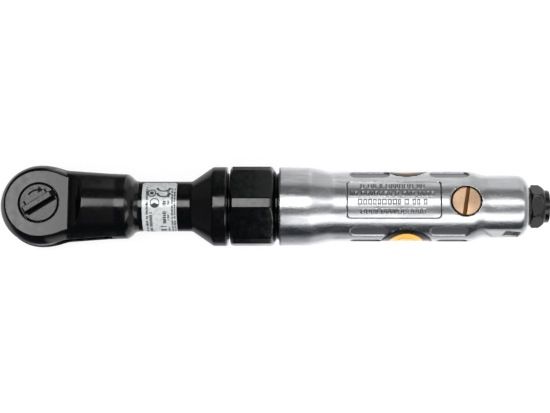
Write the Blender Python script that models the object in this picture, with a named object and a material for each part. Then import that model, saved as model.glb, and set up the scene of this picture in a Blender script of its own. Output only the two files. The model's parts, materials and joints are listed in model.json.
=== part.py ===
"""Air ratchet, built as an assembly of separate solids.

Frame: the tool's axis runs along +X, from the ratchet head to the air inlet.  The reverse knob
faces +Z and the square drive points down -Z, so the origin is the centre of the drive's end face.
Every function below works in tool coordinates in millimetres: x along the tool from the drive's
axis, y across it, w up from the tool's axis.  place() turns them into metres at the right height.
"""
import math

import bmesh
import bpy
from mathutils import Matrix, Vector

MM = 0.001

# ------------------------------------------------------------------ driving dimensions, in mm
AXIS_H = 25.0            # tool axis above the drive's end face
FIT = 0.25               # radial gap between a piece and the bore it sits in

# stations along the tool
NECK_START = 46.0
NECK_END = 71.5
HEAD_END = 88.4
HEX_START = 89.8
HEX_END = 111.4
HOUSING_START = 112.8
GRIP_START = 137.4
GRIP_END = 204.0
TAIL_START = 209.0
HOUSING_END = 230.8
INLET_HEX_START = 231.7
INLET_HEX_END = 238.3
INLET_END = 240.7

# outside radii
HEAD_R = 19.5
HEAD_FLAT = 11.0         # milled flats of the head, above and below the axis
NECK_R = 11.85
FLANGE_R = 18.8
HOUSING_R = 18.6
GRIP_R = 16.7
TAIL_R = 14.8
HEX_FLATS = 36.5         # coupling, across flats
HEX_CORNER_R = 20.0      # its corners are turned off at this radius
COUPLING_THREAD_R = 16.1 # at both ends, without its turns
THREAD_BORE_R = 16.4
COUPLING_CLOCK = -5.0    # degrees from +Z of the coupling's top corner
INLET_FLATS = 17.85
INLET_CLOCK = -7.5       # degrees from +Z of the inlet hexagon's top flat

# ratchet
SLOT_HALF = 4.2          # half height of the slot through the head
YOKE_HALF = 3.9
YOKE_TEETH = 48
YOKE_TIP_R = 11.2
YOKE_ROOT_R = 12.1
ANVIL_TOP_R = 9.1
ANVIL_R = 10.75
EAR_BORE_R = 9.35
LOWER_BORE_R = 11.1
DRIVE_SQUARE = 12.7
KNOB_R = 8.85
KNOB_ANGLE = 32.0        # the knob's bar, degrees from +X at rest
PAWL_PIVOT_X = -6.4
PAWL_ROCK = 6.0          # either side of its middle
PAWL_PIN_R = 1.2
DETENT_W = -18.6         # cross hole through the square drive

# crank and planetary reduction
CRANK_THROW = 1.6
JOURNAL_R = 4.9
MODULE = 0.8
PRESSURE_ANGLE = math.radians(25)
ADDENDUM = 0.6
DEDENDUM = 0.9
BACKLASH = 0.1           # at each flank
SUN_TEETH = 9
PLANET_TEETH = 12
RING_TEETH = 33
PLANETS = 3
PLANET_ORBIT = MODULE * (SUN_TEETH + PLANET_TEETH) / 2
GEAR_START = 88.6
GEAR_END = 103.6
PLANET_PIN_R = 1.7

# air motor
MOTOR_BORE_R = 14.25
ROTOR_START = 123.2
ROTOR_END = 159.8
ROTOR_R = 9.3
CYLINDER_OFFSET = 1.4
CYLINDER_BORE_R = 11.0
VANES = 5
DOWEL_W = -12.2
DOWEL_R = 1.0

# valve, regulator and lever
VALVE_X = 200.3
LEVER_PIVOT_X = 222.0
LEVER_PIVOT_W = -17.0
LEVER_PIN_R = 1.4
LEVER_TRAVEL = 4.6       # degrees
LEVER_TIP_X = 150.0

# what shows on the grip and the tail
BADGE_X = 172.8
BADGE_LENGTH = 23.2
BADGE_HEIGHT = 21.4
PANEL_START = 144.6
PANEL_END = 188.5
PANEL_HALF = 9.1
EXHAUST_X = 222.5
EXHAUST_FACING = 76      # degrees from +Z towards -Y
EXHAUST_SLANT = -14


# ------------------------------------------------------------------ materials
def material(name, colour, roughness, metallic):
    finish = bpy.data.materials.new(name)
    finish.use_nodes = True
    shader = finish.node_tree.nodes["Principled BSDF"]
    shader.inputs["Base Color"].default_value = (*colour, 1.0)
    shader.inputs["Roughness"].default_value = roughness
    shader.inputs["Metallic"].default_value = metallic
    return finish


# name: (colour, roughness, metallic)
FINISHES = {
    "black_enamel": ((0.012, 0.012, 0.013), 0.22, 0.0),
    "black_oxide": ((0.02, 0.021, 0.022), 0.35, 0.7),
    "cast_aluminium": ((0.72, 0.73, 0.76), 0.3, 1.0),
    "steel": ((0.55, 0.55, 0.56), 0.28, 1.0),
    "bearing_steel": ((0.62, 0.62, 0.64), 0.18, 1.0),
    "spring_steel": ((0.4, 0.4, 0.42), 0.3, 1.0),
    "brass": ((0.78, 0.57, 0.22), 0.25, 1.0),
    "bronze": ((0.55, 0.35, 0.16), 0.35, 1.0),
    "vane_fibre": ((0.22, 0.12, 0.06), 0.6, 0.0),
    "rubber": ((0.03, 0.03, 0.03), 0.6, 0.0),
    "label_white": ((0.8, 0.8, 0.8), 0.4, 0.0),
    "badge_black": ((0.015, 0.015, 0.015), 0.25, 0.0),
    "gasket_fibre": ((0.18, 0.2, 0.16), 0.7, 0.0),
}


# ------------------------------------------------------------------ outlines
def arc(centre, radius, start, end, steps):
    """Points on an arc, both ends included; angles in degrees."""
    points = []
    for step in range(steps + 1):
        angle = math.radians(start + (end - start) * step / steps)
        points.append((centre[0] + radius * math.cos(angle), centre[1] + radius * math.sin(angle)))
    return points


def rectangle(low_a, high_a, low_b, high_b):
    return [(low_a, low_b), (high_a, low_b), (high_a, high_b), (low_a, high_b)]


def sector(inner, outer, start, end, steps):
    """A part ring between two angles, for an extrusion."""
    return arc((0, 0), outer, start, end, steps) + arc((0, 0), inner, end, start, steps)


def stadium(length, width, steps=4):
    reach = (length - width) / 2
    right = arc((reach, 0), width / 2, -90, 90, steps)
    return right + arc((-reach, 0), width / 2, 90, 270, steps)


def involute(angle):
    return math.tan(angle) - angle


def gear_outline(teeth, tip, root, slack, turn=0.0, straight=False):
    """Outline of a gear's teeth, the first centred at turn degrees from the outline's +a axis.

    slack narrows every tooth by that much at each flank; a negative one widens it.
    A straight flank has no point at the pitch circle.
    """
    pitch_r = MODULE * teeth / 2
    base_r = pitch_r * math.cos(PRESSURE_ANGLE)
    half_pitch = math.pi / (2 * teeth) - slack / pitch_r + involute(PRESSURE_ANGLE)

    def half_angle(radius):
        if radius <= base_r:
            return half_pitch
        return half_pitch - involute(math.acos(base_r / radius))

    flank = [root, tip] if straight else [root, pitch_r, tip]
    points = []
    for tooth in range(teeth):
        middle = math.radians(turn) + 2 * math.pi * tooth / teeth
        angles = [(radius, middle - half_angle(radius)) for radius in flank]
        angles += [(radius, middle + half_angle(radius)) for radius in reversed(flank)]
        points += [(radius * math.cos(angle), radius * math.sin(angle)) for radius, angle in angles]
    return points


def hexagon(across_flats, flat_angle, corner_r=None):
    """Hexagon with a flat facing flat_angle degrees; corner_r cuts its corners off square."""
    apothem = across_flats / 2
    points = []
    for side in range(6):
        corner = math.radians(flat_angle + 30 + 60 * side)
        along = Vector((math.cos(corner), math.sin(corner)))
        across = Vector((-along.y, along.x))
        if corner_r is None:
            points.append(tuple(along * apothem / math.cos(math.pi / 6)))
            continue
        half = (apothem - corner_r * math.cos(math.pi / 6)) / math.sin(math.pi / 6)
        points.append(tuple(along * corner_r - across * half))
        points.append(tuple(along * corner_r + across * half))
    return points


# ------------------------------------------------------------------ solids, still in mm
def tool_point(axis, along, a, b):
    """X: a is y and b is w.  Y: a is x and b is w.  Z: a is x and b is y."""
    if axis == "X":
        return Vector((along, a, b))
    if axis == "Y":
        return Vector((a, along, b))
    return Vector((a, b, along))


def solid_from(bm):
    bmesh.ops.recalc_face_normals(bm, faces=bm.faces)
    mesh = bpy.data.meshes.new("solid")
    bm.to_mesh(mesh)
    bm.free()
    solid = bpy.data.objects.new("solid", mesh)
    bpy.context.scene.collection.objects.link(solid)
    return solid


def revolve(profile, segments, axis="X", centre=(0, 0, 0), phase=0.0):
    """Turn a closed outline of (along, radius) points; a radius of 0 becomes a pole.

    phase turns the corners by that part of a segment, so that two pieces' edges don't coincide.
    """
    bm = bmesh.new()
    rings = []
    for along, radius in profile:
        steps = segments if radius > 0 else 1
        ring = []
        for step in range(steps):
            angle = 2 * math.pi * (step + phase) / segments
            point = tool_point(axis, along, radius * math.cos(angle), radius * math.sin(angle))
            ring.append(bm.verts.new(point + Vector(centre)))
        rings.append(ring)
    for first, second in zip(rings, rings[1:] + rings[:1]):
        if len(first) == 1 and len(second) == 1:
            continue
        for step in range(segments):
            after = (step + 1) % segments
            corners = [first[step % len(first)], first[after % len(first)],
                       second[after % len(second)], second[step % len(second)]]
            bm.faces.new(list(dict.fromkeys(corners)))
    return solid_from(bm)


def cylinder(radius, low, high, axis="X", centre=(0, 0, 0), segments=16):
    outline = [(low, 0), (low, radius), (high, radius), (high, 0)]
    return revolve(outline, segments, axis, centre, phase=0.37)


def ring(inner, outer, low, high, axis="X", centre=(0, 0, 0), segments=20):
    outline = [(low, inner), (low, outer), (high, outer), (high, inner)]
    return revolve(outline, segments, axis, centre)


def prism(outline, low, high, axis="X", centre=(0, 0, 0)):
    bm = bmesh.new()
    loops = []
    for along in (low, high):
        loops.append([bm.verts.new(tool_point(axis, along, a, b) + Vector(centre))
                      for a, b in outline])
    bm.faces.new(loops[0])
    bm.faces.new(loops[1])
    count = len(outline)
    for step in range(count):
        after = (step + 1) % count
        bm.faces.new([loops[0][step], loops[0][after], loops[1][after], loops[1][step]])
    return solid_from(bm)


def ball(radius, centre, segments=12, rings=8):
    outline = [(-radius * math.cos(math.pi * step / rings), radius * math.sin(math.pi * step / rings))
               for step in range(1, rings)]
    return revolve([(-radius, 0)] + outline + [(radius, 0)], segments, "X", centre)


def coil(radius, wire, low, high, turns, axis="Z", centre=(0, 0, 0)):
    """A round-wire spring as a square-section helix."""
    steps_per_turn = 9
    steps = int(turns * steps_per_turn)
    bm = bmesh.new()
    rings = []
    for step in range(steps + 1):
        angle = 2 * math.pi * step / steps_per_turn
        along = low + wire + (high - low - 2 * wire) * step / steps
        rings.append([])
        for shift, lift in ((wire, 0), (0, wire), (-wire, 0), (0, -wire)):
            point = tool_point(axis, along + lift, (radius + shift) * math.cos(angle),
                               (radius + shift) * math.sin(angle))
            rings[-1].append(bm.verts.new(point + Vector(centre)))
    for first, second in zip(rings, rings[1:]):
        for side in range(4):
            after = (side + 1) % 4
            bm.faces.new([first[side], first[after], second[after], second[side]])
    bm.faces.new(rings[0])
    bm.faces.new(rings[-1])
    return solid_from(bm)


def combine(solid, others, operation):
    """Apply one exact boolean for each of the others, which are used up."""
    for other in others:
        modifier = solid.modifiers.new("combine", "BOOLEAN")
        modifier.operation = operation
        modifier.solver = "EXACT"
        modifier.object = other
        evaluated = solid.evaluated_get(bpy.context.evaluated_depsgraph_get())
        mesh = bpy.data.meshes.new_from_object(evaluated)
        solid.modifiers.clear()
        solid.data = mesh
        bpy.data.objects.remove(other)
    return solid


def cut(solid, *others):
    return combine(solid, others, "DIFFERENCE")


def join(solid, *others):
    return combine(solid, others, "UNION")


def common(solid, *others):
    return combine(solid, others, "INTERSECT")


def turned(solid, degrees, axis="X", centre=(0, 0, 0)):
    """Rotate a solid about an axis through a point."""
    pivot = Matrix.Translation(Vector(centre))
    turn = Matrix.Rotation(math.radians(degrees), 4, axis)
    solid.data.transform(pivot @ turn @ pivot.inverted())
    return solid


def place(name, solid, finish, origin=(0, 0, 0)):
    """Name a finished solid, scale it to metres and put its origin on its joint's axis."""
    mesh = solid.data
    mesh.transform(Matrix.Scale(MM, 4) @ Matrix.Translation(-Vector(origin)))
    mesh.name = name
    mesh.materials.clear()
    mesh.materials.append(bpy.data.materials[finish])
    mesh.shade_smooth()
    mesh.set_sharp_from_angle(angle=math.radians(35))
    solid.name = name
    solid.location = Vector(origin) * MM
    solid.parent = bpy.data.objects["tool_axis"]
    return solid


# ------------------------------------------------------------------ ratchet head
def make_ratchet_head():
    blend_start = math.degrees(math.acos(7.5 / HEAD_R))
    ball_end = [(x, r) for x, r in arc((0, 0), HEAD_R, 180, blend_start, 9)][1:]
    outside = ball_end + [(13, 17.1), (36, 15.5), (41, 15.3), (43, 14.2), (44.5, 12.6),
                          (NECK_START, NECK_R), (NECK_END, NECK_R), (81.6, FLANGE_R - 0.2),
                          (82.2, FLANGE_R), (HEAD_END - 0.5, FLANGE_R), (HEAD_END, FLANGE_R - 0.5)]
    thread_x, carrier_x, bearing_x, slot_x = 81.4, 78.6, 46, 20
    carrier_r, needle_r, crank_r = 13.4, 8.0, 6.2
    inside = [(HEAD_END, THREAD_BORE_R), (thread_x, THREAD_BORE_R), (thread_x, carrier_r),
              (carrier_x, carrier_r), (carrier_x, needle_r), (bearing_x, needle_r),
              (bearing_x, crank_r), (slot_x, crank_r), (slot_x, 0)]
    head = revolve([(-HEAD_R, 0)] + outside + inside, 32)

    flat_end, fillet = 15.1, 6.5
    for side in (1, -1):
        outline = [(-25, HEAD_FLAT), (flat_end, HEAD_FLAT)]
        outline += arc((flat_end, HEAD_FLAT + fillet), fillet, -75, 0, 4)
        outline += [(flat_end + fillet, 25), (-25, 25)]
        cut(head, prism([(x, side * w) for x, w in outline], -25, 25, "Y"))
    slot_end = 34
    cut(head, prism(rectangle(-25, slot_end, -SLOT_HALF, SLOT_HALF), -25, 25, "Y"))
    cut(head, cylinder(EAR_BORE_R, 2, 13, "Z", segments=28))
    ring_groove = [(-9.6, LOWER_BORE_R), (-9.6, 11.9), (-10.5, 11.9), (-10.5, LOWER_BORE_R)]
    cut(head, revolve([(-2, 0), (-2, LOWER_BORE_R)] + ring_groove + [(-13, LOWER_BORE_R), (-13, 0)],
                      28, "Z"))
    place("ratchet_head", head, "black_enamel")


def make_anvil():
    body = [(-11.6, 0), (-11.6, 8.9), (-7.6, 8.9), (-7.6, ANVIL_R), (4.0, ANVIL_R),
            (4.0, ANVIL_TOP_R), (7.7, ANVIL_TOP_R), (7.7, 0)]
    anvil = revolve(body, 24, "Z", phase=0.2)
    half, corner = DRIVE_SQUARE / 2, 1.2
    square = [(half, half - corner), (half - corner, half), (corner - half, half),
              (-half, half - corner), (-half, corner - half), (corner - half, -half),
              (half - corner, -half), (half, corner - half)]
    join(anvil, prism(square, -AXIS_H, -9, "Z"))
    cut(anvil, cylinder(3.2, -3.0, 9, "Z", segments=14))
    cut(anvil, prism(rectangle(-12, -1.6, -8.2, 8.2), -3.6, 3.4, "Z"))
    cut(anvil, cylinder(PAWL_PIN_R + FIT, -5.7, 5.5, "Z", (PAWL_PIVOT_X, 0, 0), 12))
    cut(anvil, cylinder(1.75, -8, 1.5, "X", (0, 0, DETENT_W), 12))
    place("ratchet_anvil", anvil, "steel")


def make_pawl():
    """One pawl with teeth at both ends, rocked onto one end."""
    outer_r, reach, teeth = 10.3, 38.0, 5
    half_pitch = 360 / YOKE_TEETH / 2
    outline = []
    for end in (1, -1):
        angles = [end * (reach - half_pitch * step) for step in range(2 * teeth)]
        points = [(outer_r - 0.7 * (step % 2), angle) for step, angle in enumerate(angles)]
        if end < 0:
            points.reverse()
        outline += [(-r * math.cos(math.radians(a)), r * math.sin(math.radians(a)))
                    for r, a in points]
    outline += [(-4.9, -5.4), (-4.75, 0), (-4.9, 5.4)]
    pawl = prism(outline, -3.3, 3.1, "Z")
    pivot = (PAWL_PIVOT_X, 0, 0)
    cut(pawl, cylinder(PAWL_PIN_R + FIT, -5, 5, "Z", pivot, 12))
    place("pawl", turned(pawl, -PAWL_ROCK, "Z", pivot), "steel", pivot)
    pin = cylinder(PAWL_PIN_R, -5.4, 5.2, "Z", pivot, 12)
    place("pawl_pin", pin, "bearing_steel", pivot)


def make_reverse_knob():
    knob = revolve([(-2.6, 0), (-2.6, 2.9), (8.0, 2.9), (8.0, KNOB_R), (10.5, KNOB_R),
                    (HEAD_FLAT, KNOB_R - 0.5), (HEAD_FLAT, 0)], 24, "Z", phase=0.2)
    length, top, base, crown = 16.0, 2.8, 3.8, 14.5
    bar = prism([(-base / 2, 10), (base / 2, 10), (top / 2, crown), (-top / 2, crown)],
                -length / 2, length / 2, "X")
    join(knob, turned(bar, KNOB_ANGLE, "Z"))
    plunger_angle = KNOB_ANGLE + 180
    cut(knob, turned(cylinder(1.25, -1.9, 5, "X", segments=12), plunger_angle, "Z"))
    place("reverse_knob", knob, "black_oxide")
    plunger = revolve([(1.3, 0), (1.3, 1.0), (3.5, 1.0), (4.1, 0.7), (4.3, 0)], 12)
    place("knob_plunger", turned(plunger, plunger_angle, "Z"), "bearing_steel")
    spring = coil(0.75, 0.2, -1.75, 1.15, 4, "X")
    place("knob_spring", turned(spring, plunger_angle, "Z"), "spring_steel")


def make_yoke():
    outer_r, arm_start, arm_end, arm_outer, arm_inner, fork_floor = 18.4, 12, 28.9, 10.5, 7.05, 18.6
    yoke = cylinder(outer_r, -YOKE_HALF, YOKE_HALF, "Z", segments=36)
    join(yoke, prism(rectangle(arm_start, arm_end, -arm_outer, arm_outer), -YOKE_HALF, YOKE_HALF,
                     "Z"))
    cut(yoke, prism(rectangle(fork_floor, arm_end + 2, -arm_inner, arm_inner), -6, 6, "Z"))
    teeth = []
    for tooth in range(YOKE_TEETH):
        for radius, shift in ((YOKE_ROOT_R, 0), (YOKE_TIP_R, 0.5)):
            angle = 2 * math.pi * (tooth + shift) / YOKE_TEETH
            teeth.append((radius * math.cos(angle), radius * math.sin(angle)))
    cut(yoke, prism(teeth, -6, 6, "Z"))
    place("ratchet_yoke", yoke, "steel")


def make_anvil_rings():
    place("anvil_thrust_washer", ring(9.2, 10.85, -8.4, -7.8, "Z", segments=24), "steel")

    middle, thickness, wave, segments = -9.0, 0.3, 0.22, 32
    washer = ring(9.2, 10.85, middle - thickness / 2, middle + thickness / 2, "Z",
                  segments=segments)
    for vertex in washer.data.vertices:
        angle = math.atan2(vertex.co.y, vertex.co.x)
        vertex.co.z += wave * math.cos(4 * angle)
    place("friction_washer", washer, "spring_steel")

    clip = prism(sector(9.5, 11.65, 25, 335, 20), -10.4, -9.7, "Z")
    place("anvil_retaining_ring", clip, "spring_steel")


def make_socket_detent():
    centre = (-5.55, 0, DETENT_W)
    place("socket_detent_ball", ball(1.6, centre, 12, 8), "bearing_steel", centre)
    spring = coil(1.15, 0.22, -2.7, 1.3, 4, "X", (0, 0, DETENT_W))
    place("detent_spring", spring, "spring_steel")


# ------------------------------------------------------------------ crank and needle bearing
def make_crankshaft():
    web_start, web_end, web_r = 29.6, 33, 5.4
    flange_start, flange_end, flange_r, shoulder, shoulder_r = 84, 88, 12.3, 68, 6.0
    crank = revolve([(web_start, 0), (web_start, web_r), (web_end, web_r), (web_end, JOURNAL_R),
                     (shoulder, JOURNAL_R), (shoulder, shoulder_r), (flange_start, shoulder_r),
                     (flange_start, flange_r), (flange_end, flange_r), (flange_end, 0)], 20)
    join(crank, cylinder(1.9, 21, web_start + 1, "X", (0, CRANK_THROW, 0), 16))
    for number in range(PLANETS):
        cut(crank, cylinder(PLANET_PIN_R + FIT, 84.8, flange_end + 1, "X", planet_centre(number), 14))
    place("crankshaft", crank, "steel")
    bushing = ring(2.15, 3.4, 21.6, 27.6, "X", (0, CRANK_THROW, 0), 20)
    place("drive_bushing", bushing, "bronze", (24.6, CRANK_THROW, 0))


def make_needle_bearing():
    start, end, orbit, roller_r, rollers = 48, 64, 6.0, 0.95, 8
    place("needle_bearing_shell", ring(7.1, 7.8, start, end), "bearing_steel")
    cage = ring(5.5, 6.5, start + 0.4, start + 1.6, segments=16)
    join(cage, ring(5.5, 6.5, end - 1.6, end - 0.4, segments=16))
    for number in range(rollers):
        angle = 2 * math.pi * number / rollers
        centre = (0, orbit * math.cos(angle), orbit * math.sin(angle))
        join(cage, cylinder(roller_r, start + 1, end - 1, "X", centre, 6))
    place("needle_rollers", cage, "bearing_steel")


# ------------------------------------------------------------------ planetary reduction
def planet_centre(number):
    angle = 2 * math.pi * number / PLANETS
    return (0, PLANET_ORBIT * math.cos(angle), PLANET_ORBIT * math.sin(angle))


def make_planets():
    radius = MODULE * PLANET_TEETH / 2
    outline = gear_outline(PLANET_TEETH, radius + ADDENDUM, radius - DEDENDUM, BACKLASH,
                           180 / PLANET_TEETH)
    for number in range(PLANETS):
        centre = planet_centre(number)
        gear = prism(outline, GEAR_START, GEAR_END, "X", centre)
        cut(gear, cylinder(PLANET_PIN_R + FIT, GEAR_START - 2, GEAR_END + 2, "X", centre, 14))
        place(f"planet_gear_{number + 1}", gear, "steel", centre)
        pin = cylinder(PLANET_PIN_R, 85, 105.4, "X", centre, 14)
        place(f"planet_pin_{number + 1}", pin, "bearing_steel", centre)


def make_carrier_plate():
    plate = ring(5.2, 12.0, 104.2, 106.0, segments=24)
    for number in range(PLANETS):
        cut(plate, cylinder(PLANET_PIN_R + FIT, 100, 108, "X", planet_centre(number), 14))
    place("carrier_plate", plate, "steel")


def make_hex_ring_gear():
    """The coupling: threaded at both ends, hexagonal outside, ring gear inside."""
    chamfer_r, full_r, bore_r = HEX_FLATS / 2 - 0.2, HEX_CORNER_R + 0.3, 13.0
    chamfer = (full_r - chamfer_r) * math.tan(math.radians(30))
    ring_r = MODULE * RING_TEETH / 2
    start, end, gear_start, gear_end, plate_r = 82.4, 118.4, 88.3, 104, 14.2
    coupling = revolve([(start, COUPLING_THREAD_R), (HEX_START, COUPLING_THREAD_R),
                        (HEX_START, chamfer_r), (HEX_START + chamfer, full_r),
                        (HEX_END - chamfer, full_r), (HEX_END, chamfer_r),
                        (HEX_END, COUPLING_THREAD_R), (end, COUPLING_THREAD_R), (end, plate_r),
                        (gear_end, plate_r), (gear_end, ring_r - ADDENDUM),
                        (gear_start, ring_r - ADDENDUM), (gear_start, bore_r), (start, bore_r)], 36)
    corner_angle = 90 - COUPLING_CLOCK
    common(coupling, prism(hexagon(HEX_FLATS, corner_angle + 30, HEX_CORNER_R), 80, 120))
    spaces = gear_outline(RING_TEETH, ring_r + DEDENDUM, ring_r - ADDENDUM - 0.3, -BACKLASH,
                          180 / RING_TEETH, straight=True)
    cut(coupling, prism(spaces, gear_start - 0.3, gear_end + 0.5))
    place("hex_ring_gear", coupling, "black_oxide")


# ------------------------------------------------------------------ air motor
def make_end_plates():
    """A front plate with a long hub and a rear plate; each holds a ball bearing."""
    hub_r, flange_r = 13.8, MOTOR_BORE_R - FIT
    hub_start, hub_end, flange_end, seat_end, seat_r, shaft_r = 108.6, 119, 122.6, 116.3, 11.2, 5.0
    front = revolve([(hub_start, seat_r), (hub_start, hub_r), (hub_end, hub_r),
                     (hub_end, flange_r), (flange_end, flange_r), (flange_end, shaft_r),
                     (seat_end, shaft_r), (seat_end, seat_r)], 24)
    cut(front, cylinder(DOWEL_R + FIT, 120.2, 124, "X", (0, 0, DOWEL_W), 12))
    place("front_end_plate", front, "steel")
    start, end, seat_start, seat_r, shaft_r = 160.4, 169, 161.8, 9.2, 3.4
    rear = revolve([(start, shaft_r), (start, flange_r), (end, flange_r), (end, seat_r),
                    (seat_start, seat_r), (seat_start, shaft_r)], 24)
    cut(rear, cylinder(DOWEL_R + FIT, 159, 163.3, "X", (0, 0, DOWEL_W), 12))
    place("rear_end_plate", rear, "steel")
    place("motor_gasket", ring(9.4, 14.0, 169.25, 170.0, segments=24), "gasket_fibre")


def make_ball_bearing(name, start, end, inner, outer, balls, ball_r):
    """inner and outer are the (bore, outside) radii of the two rings."""
    orbit = (inner[1] + outer[0]) / 2
    middle = (start + end) / 2
    place(f"{name}_outer", ring(*outer, start, end), "bearing_steel")
    place(f"{name}_inner", ring(*inner, start, end, segments=16), "bearing_steel")
    cage = ring(orbit - 0.5, orbit + 0.5, middle - 0.8, middle + 0.8, segments=14)
    for number in range(balls):
        angle = 2 * math.pi * number / balls
        centre = (middle, orbit * math.cos(angle), orbit * math.sin(angle))
        join(cage, ball(ball_r, centre, 7, 5))
    place(f"{name}_balls", cage, "bearing_steel")


def make_motor_cylinder():
    liner = cylinder(14.0, 122.9, 160.1, segments=28)
    cut(liner, cylinder(CYLINDER_BORE_R, 120, 163, "X", (0, 0, CYLINDER_OFFSET), 28))
    cut(liner, cylinder(DOWEL_R + FIT, 120, 163, "X", (0, 0, DOWEL_W), 12))
    for port in (133.0, 141.5, 150.0):
        cut(liner, turned(prism(stadium(5.0, 2.4, 3), 8, 16, "Y", (port, 0, 2.0)), 180, "Z",
                          (port, 0, 0)))
    place("motor_cylinder", liner, "steel")
    dowel = cylinder(DOWEL_R, 120.5, 163, "X", (0, 0, DOWEL_W), 12)
    place("cylinder_dowel", dowel, "bearing_steel")


def vane_angle(number):
    return 360 * number / VANES + 18


def make_rotor():
    sun_r = MODULE * SUN_TEETH / 2
    shaft_r, front_r, rear_r = 3.3, 4.35, 2.85
    shaft_start, step, shaft_end = 104.0, 108.8, 168.2
    rotor = revolve([(shaft_start, 0), (shaft_start, shaft_r), (step, shaft_r), (step, front_r),
                     (ROTOR_START, front_r), (ROTOR_START, ROTOR_R), (ROTOR_END, ROTOR_R),
                     (ROTOR_END, rear_r), (shaft_end, rear_r), (shaft_end, 0)], 20)
    sun = gear_outline(SUN_TEETH, sun_r + ADDENDUM, sun_r - DEDENDUM, BACKLASH)
    join(rotor, prism(sun, GEAR_START + 0.4, shaft_start + 0.4))
    slot_half, slot_floor = 0.95, 4.6
    for number in range(VANES):
        slot = prism(rectangle(slot_floor, 12, -slot_half, slot_half), 122, 161)
        cut(rotor, turned(slot, vane_angle(number), "X"))
    place("rotor", rotor, "steel")
    vane_half, vane_low, vane_high = 0.72, 4.9, 9.4
    for number in range(VANES):
        vane = prism(rectangle(vane_low, vane_high, -vane_half, vane_half), ROTOR_START + 0.1,
                     ROTOR_END - 0.1)
        place(f"vane_{number + 1}", turned(vane, vane_angle(number), "X"), "vane_fibre")


# ------------------------------------------------------------------ housing
def make_housing():
    end_round = 5.7
    nose = [(HOUSING_START, THREAD_BORE_R), (HOUSING_START, HOUSING_R - 0.6),
            (HOUSING_START + 0.6, HOUSING_R), (128, HOUSING_R)]
    grip = [(132, 17.9), (GRIP_START, GRIP_R - 0.1), (GRIP_END, GRIP_R), (206, 16.2),
            (207.4, 15.1), (TAIL_START, TAIL_R)]
    tail = arc((HOUSING_END - end_round, TAIL_R - end_round), end_round, 90, 0, 5)
    inlet_r, inlet_x, motor_end, motor_start = 7.9, 216.5, 170.3, 119.2
    inside = [(HOUSING_END, inlet_r), (inlet_x, inlet_r), (inlet_x, 0), (motor_end, 0),
              (motor_end, MOTOR_BORE_R), (motor_start, MOTOR_BORE_R), (motor_start, THREAD_BORE_R)]
    housing = revolve(nose + grip + tail + inside, 36)
    join(housing, make_lever_lug())
    cut(housing, cylinder(LEVER_PIN_R + FIT, -8, 8, "Y", (LEVER_PIVOT_X, 0, LEVER_PIVOT_W), 14))
    cut_valve_bores(housing)
    cut_finger_pockets(housing)
    for side in (1, -1):
        cut(housing, badge_solid(side, GRIP_R - 1.0, 20, 0.3))
    cut(housing, exhaust_block(9.3, 18, 4.4, 3.6))
    panel = common(ring(GRIP_R - 0.35, 20, PANEL_START, PANEL_END, segments=36),
                   prism(rectangle(PANEL_START - 1, PANEL_END + 1, -PANEL_HALF, PANEL_HALF), 10, 20,
                         "Z"))
    cut(housing, panel)
    place("motor_housing", housing, "cast_aluminium")


def make_lever_lug():
    front, rear, low = 216.5, 227.5, -19.4
    outline = [(front, -11), (front, low + 1.4), (front + 1.4, low), (rear - 1.4, low),
               (rear, low + 1.4), (rear, -11)]
    return prism(outline, -4.2, 4.2, "Y")


def cut_valve_bores(housing):
    centre = (VALVE_X, 0, 0)
    bores = [(-20, 0), (-20, 1.5), (-9.5, 1.5), (-9.5, 2.6), (-6.5, 2.6), (-6.5, 5.6), (9, 5.6),
             (9, 7.2), (15.9, 7.2), (15.9, 7.9), (20, 7.9), (20, 0)]
    cut(housing, revolve(bores, 20, "Z", centre, phase=0.3))
    cut(housing, cylinder(3.5, 203, 217.5, segments=16))
    cut(housing, cylinder(1.8, 168, VALVE_X, "X", (0, 0, -8.0), 12))
    cut(housing, cylinder(1.9, 168, 222, "X", (0, -10.5, 0), 12))


def cut_finger_pockets(housing):
    """Shallow stadium pockets in rows along the grip."""
    width, floor_r = 5.8, GRIP_R - 0.75
    rows = [(angle, middle, 18.5) for angle in (56, -56, 124, -124) for middle in (155.3, 193.0)]
    rows += [(angle, middle, 14.8) for angle in (90, -90) for middle in (153.7, 194.6)]
    for angle, middle, length in rows:
        pocket = prism(stadium(length, width, 2), floor_r, 20, "Z", (middle, 0, 0))
        cut(housing, turned(pocket, angle, "X"))


def badge_solid(side, inner_r, outer_r, margin=0.0):
    """An oval piece of a tube round the grip, larger all round than the badge by margin."""
    half_length, half_height, steps = BADGE_LENGTH / 2 + margin, BADGE_HEIGHT / 2 + margin, 20
    outline = [(half_length * math.cos(angle), half_height * math.sin(angle))
               for angle in (2 * math.pi * (step + 0.5) / steps for step in range(steps))]
    shell = ring(inner_r, outer_r, BADGE_X - 15, BADGE_X + 15, segments=36)
    ends = sorted((side * 8, side * 24))
    return common(shell, prism(outline, ends[0], ends[1], "Y", (BADGE_X, 0, 0)))


def at_exhaust(solid):
    """Move a solid that points up at the origin to where the exhaust leaves the housing."""
    turned(solid, EXHAUST_SLANT, "Z")
    turned(solid, EXHAUST_FACING, "X")
    solid.data.transform(Matrix.Translation((EXHAUST_X, 0, 0)))
    return solid


def exhaust_block(inner, outer, half_length, half_width):
    outline = rectangle(-half_length, half_length, -half_width, half_width)
    return at_exhaust(prism(outline, inner, outer, "Z"))


def make_badges():
    for side, name in ((1, "badge_left"), (-1, "badge_right")):
        place(name, badge_solid(side, GRIP_R - 0.75, GRIP_R - 0.2), "badge_black")


def make_neck_label():
    """Film wrapped round the side of the neck that faces up."""
    start, end, film = 32, 182, 0.2
    outline = sector(NECK_R + 0.2, NECK_R + 0.2 + film, start, end, 20)
    place("neck_label", prism(outline, 48.6, 64.8), "label_white")


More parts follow.
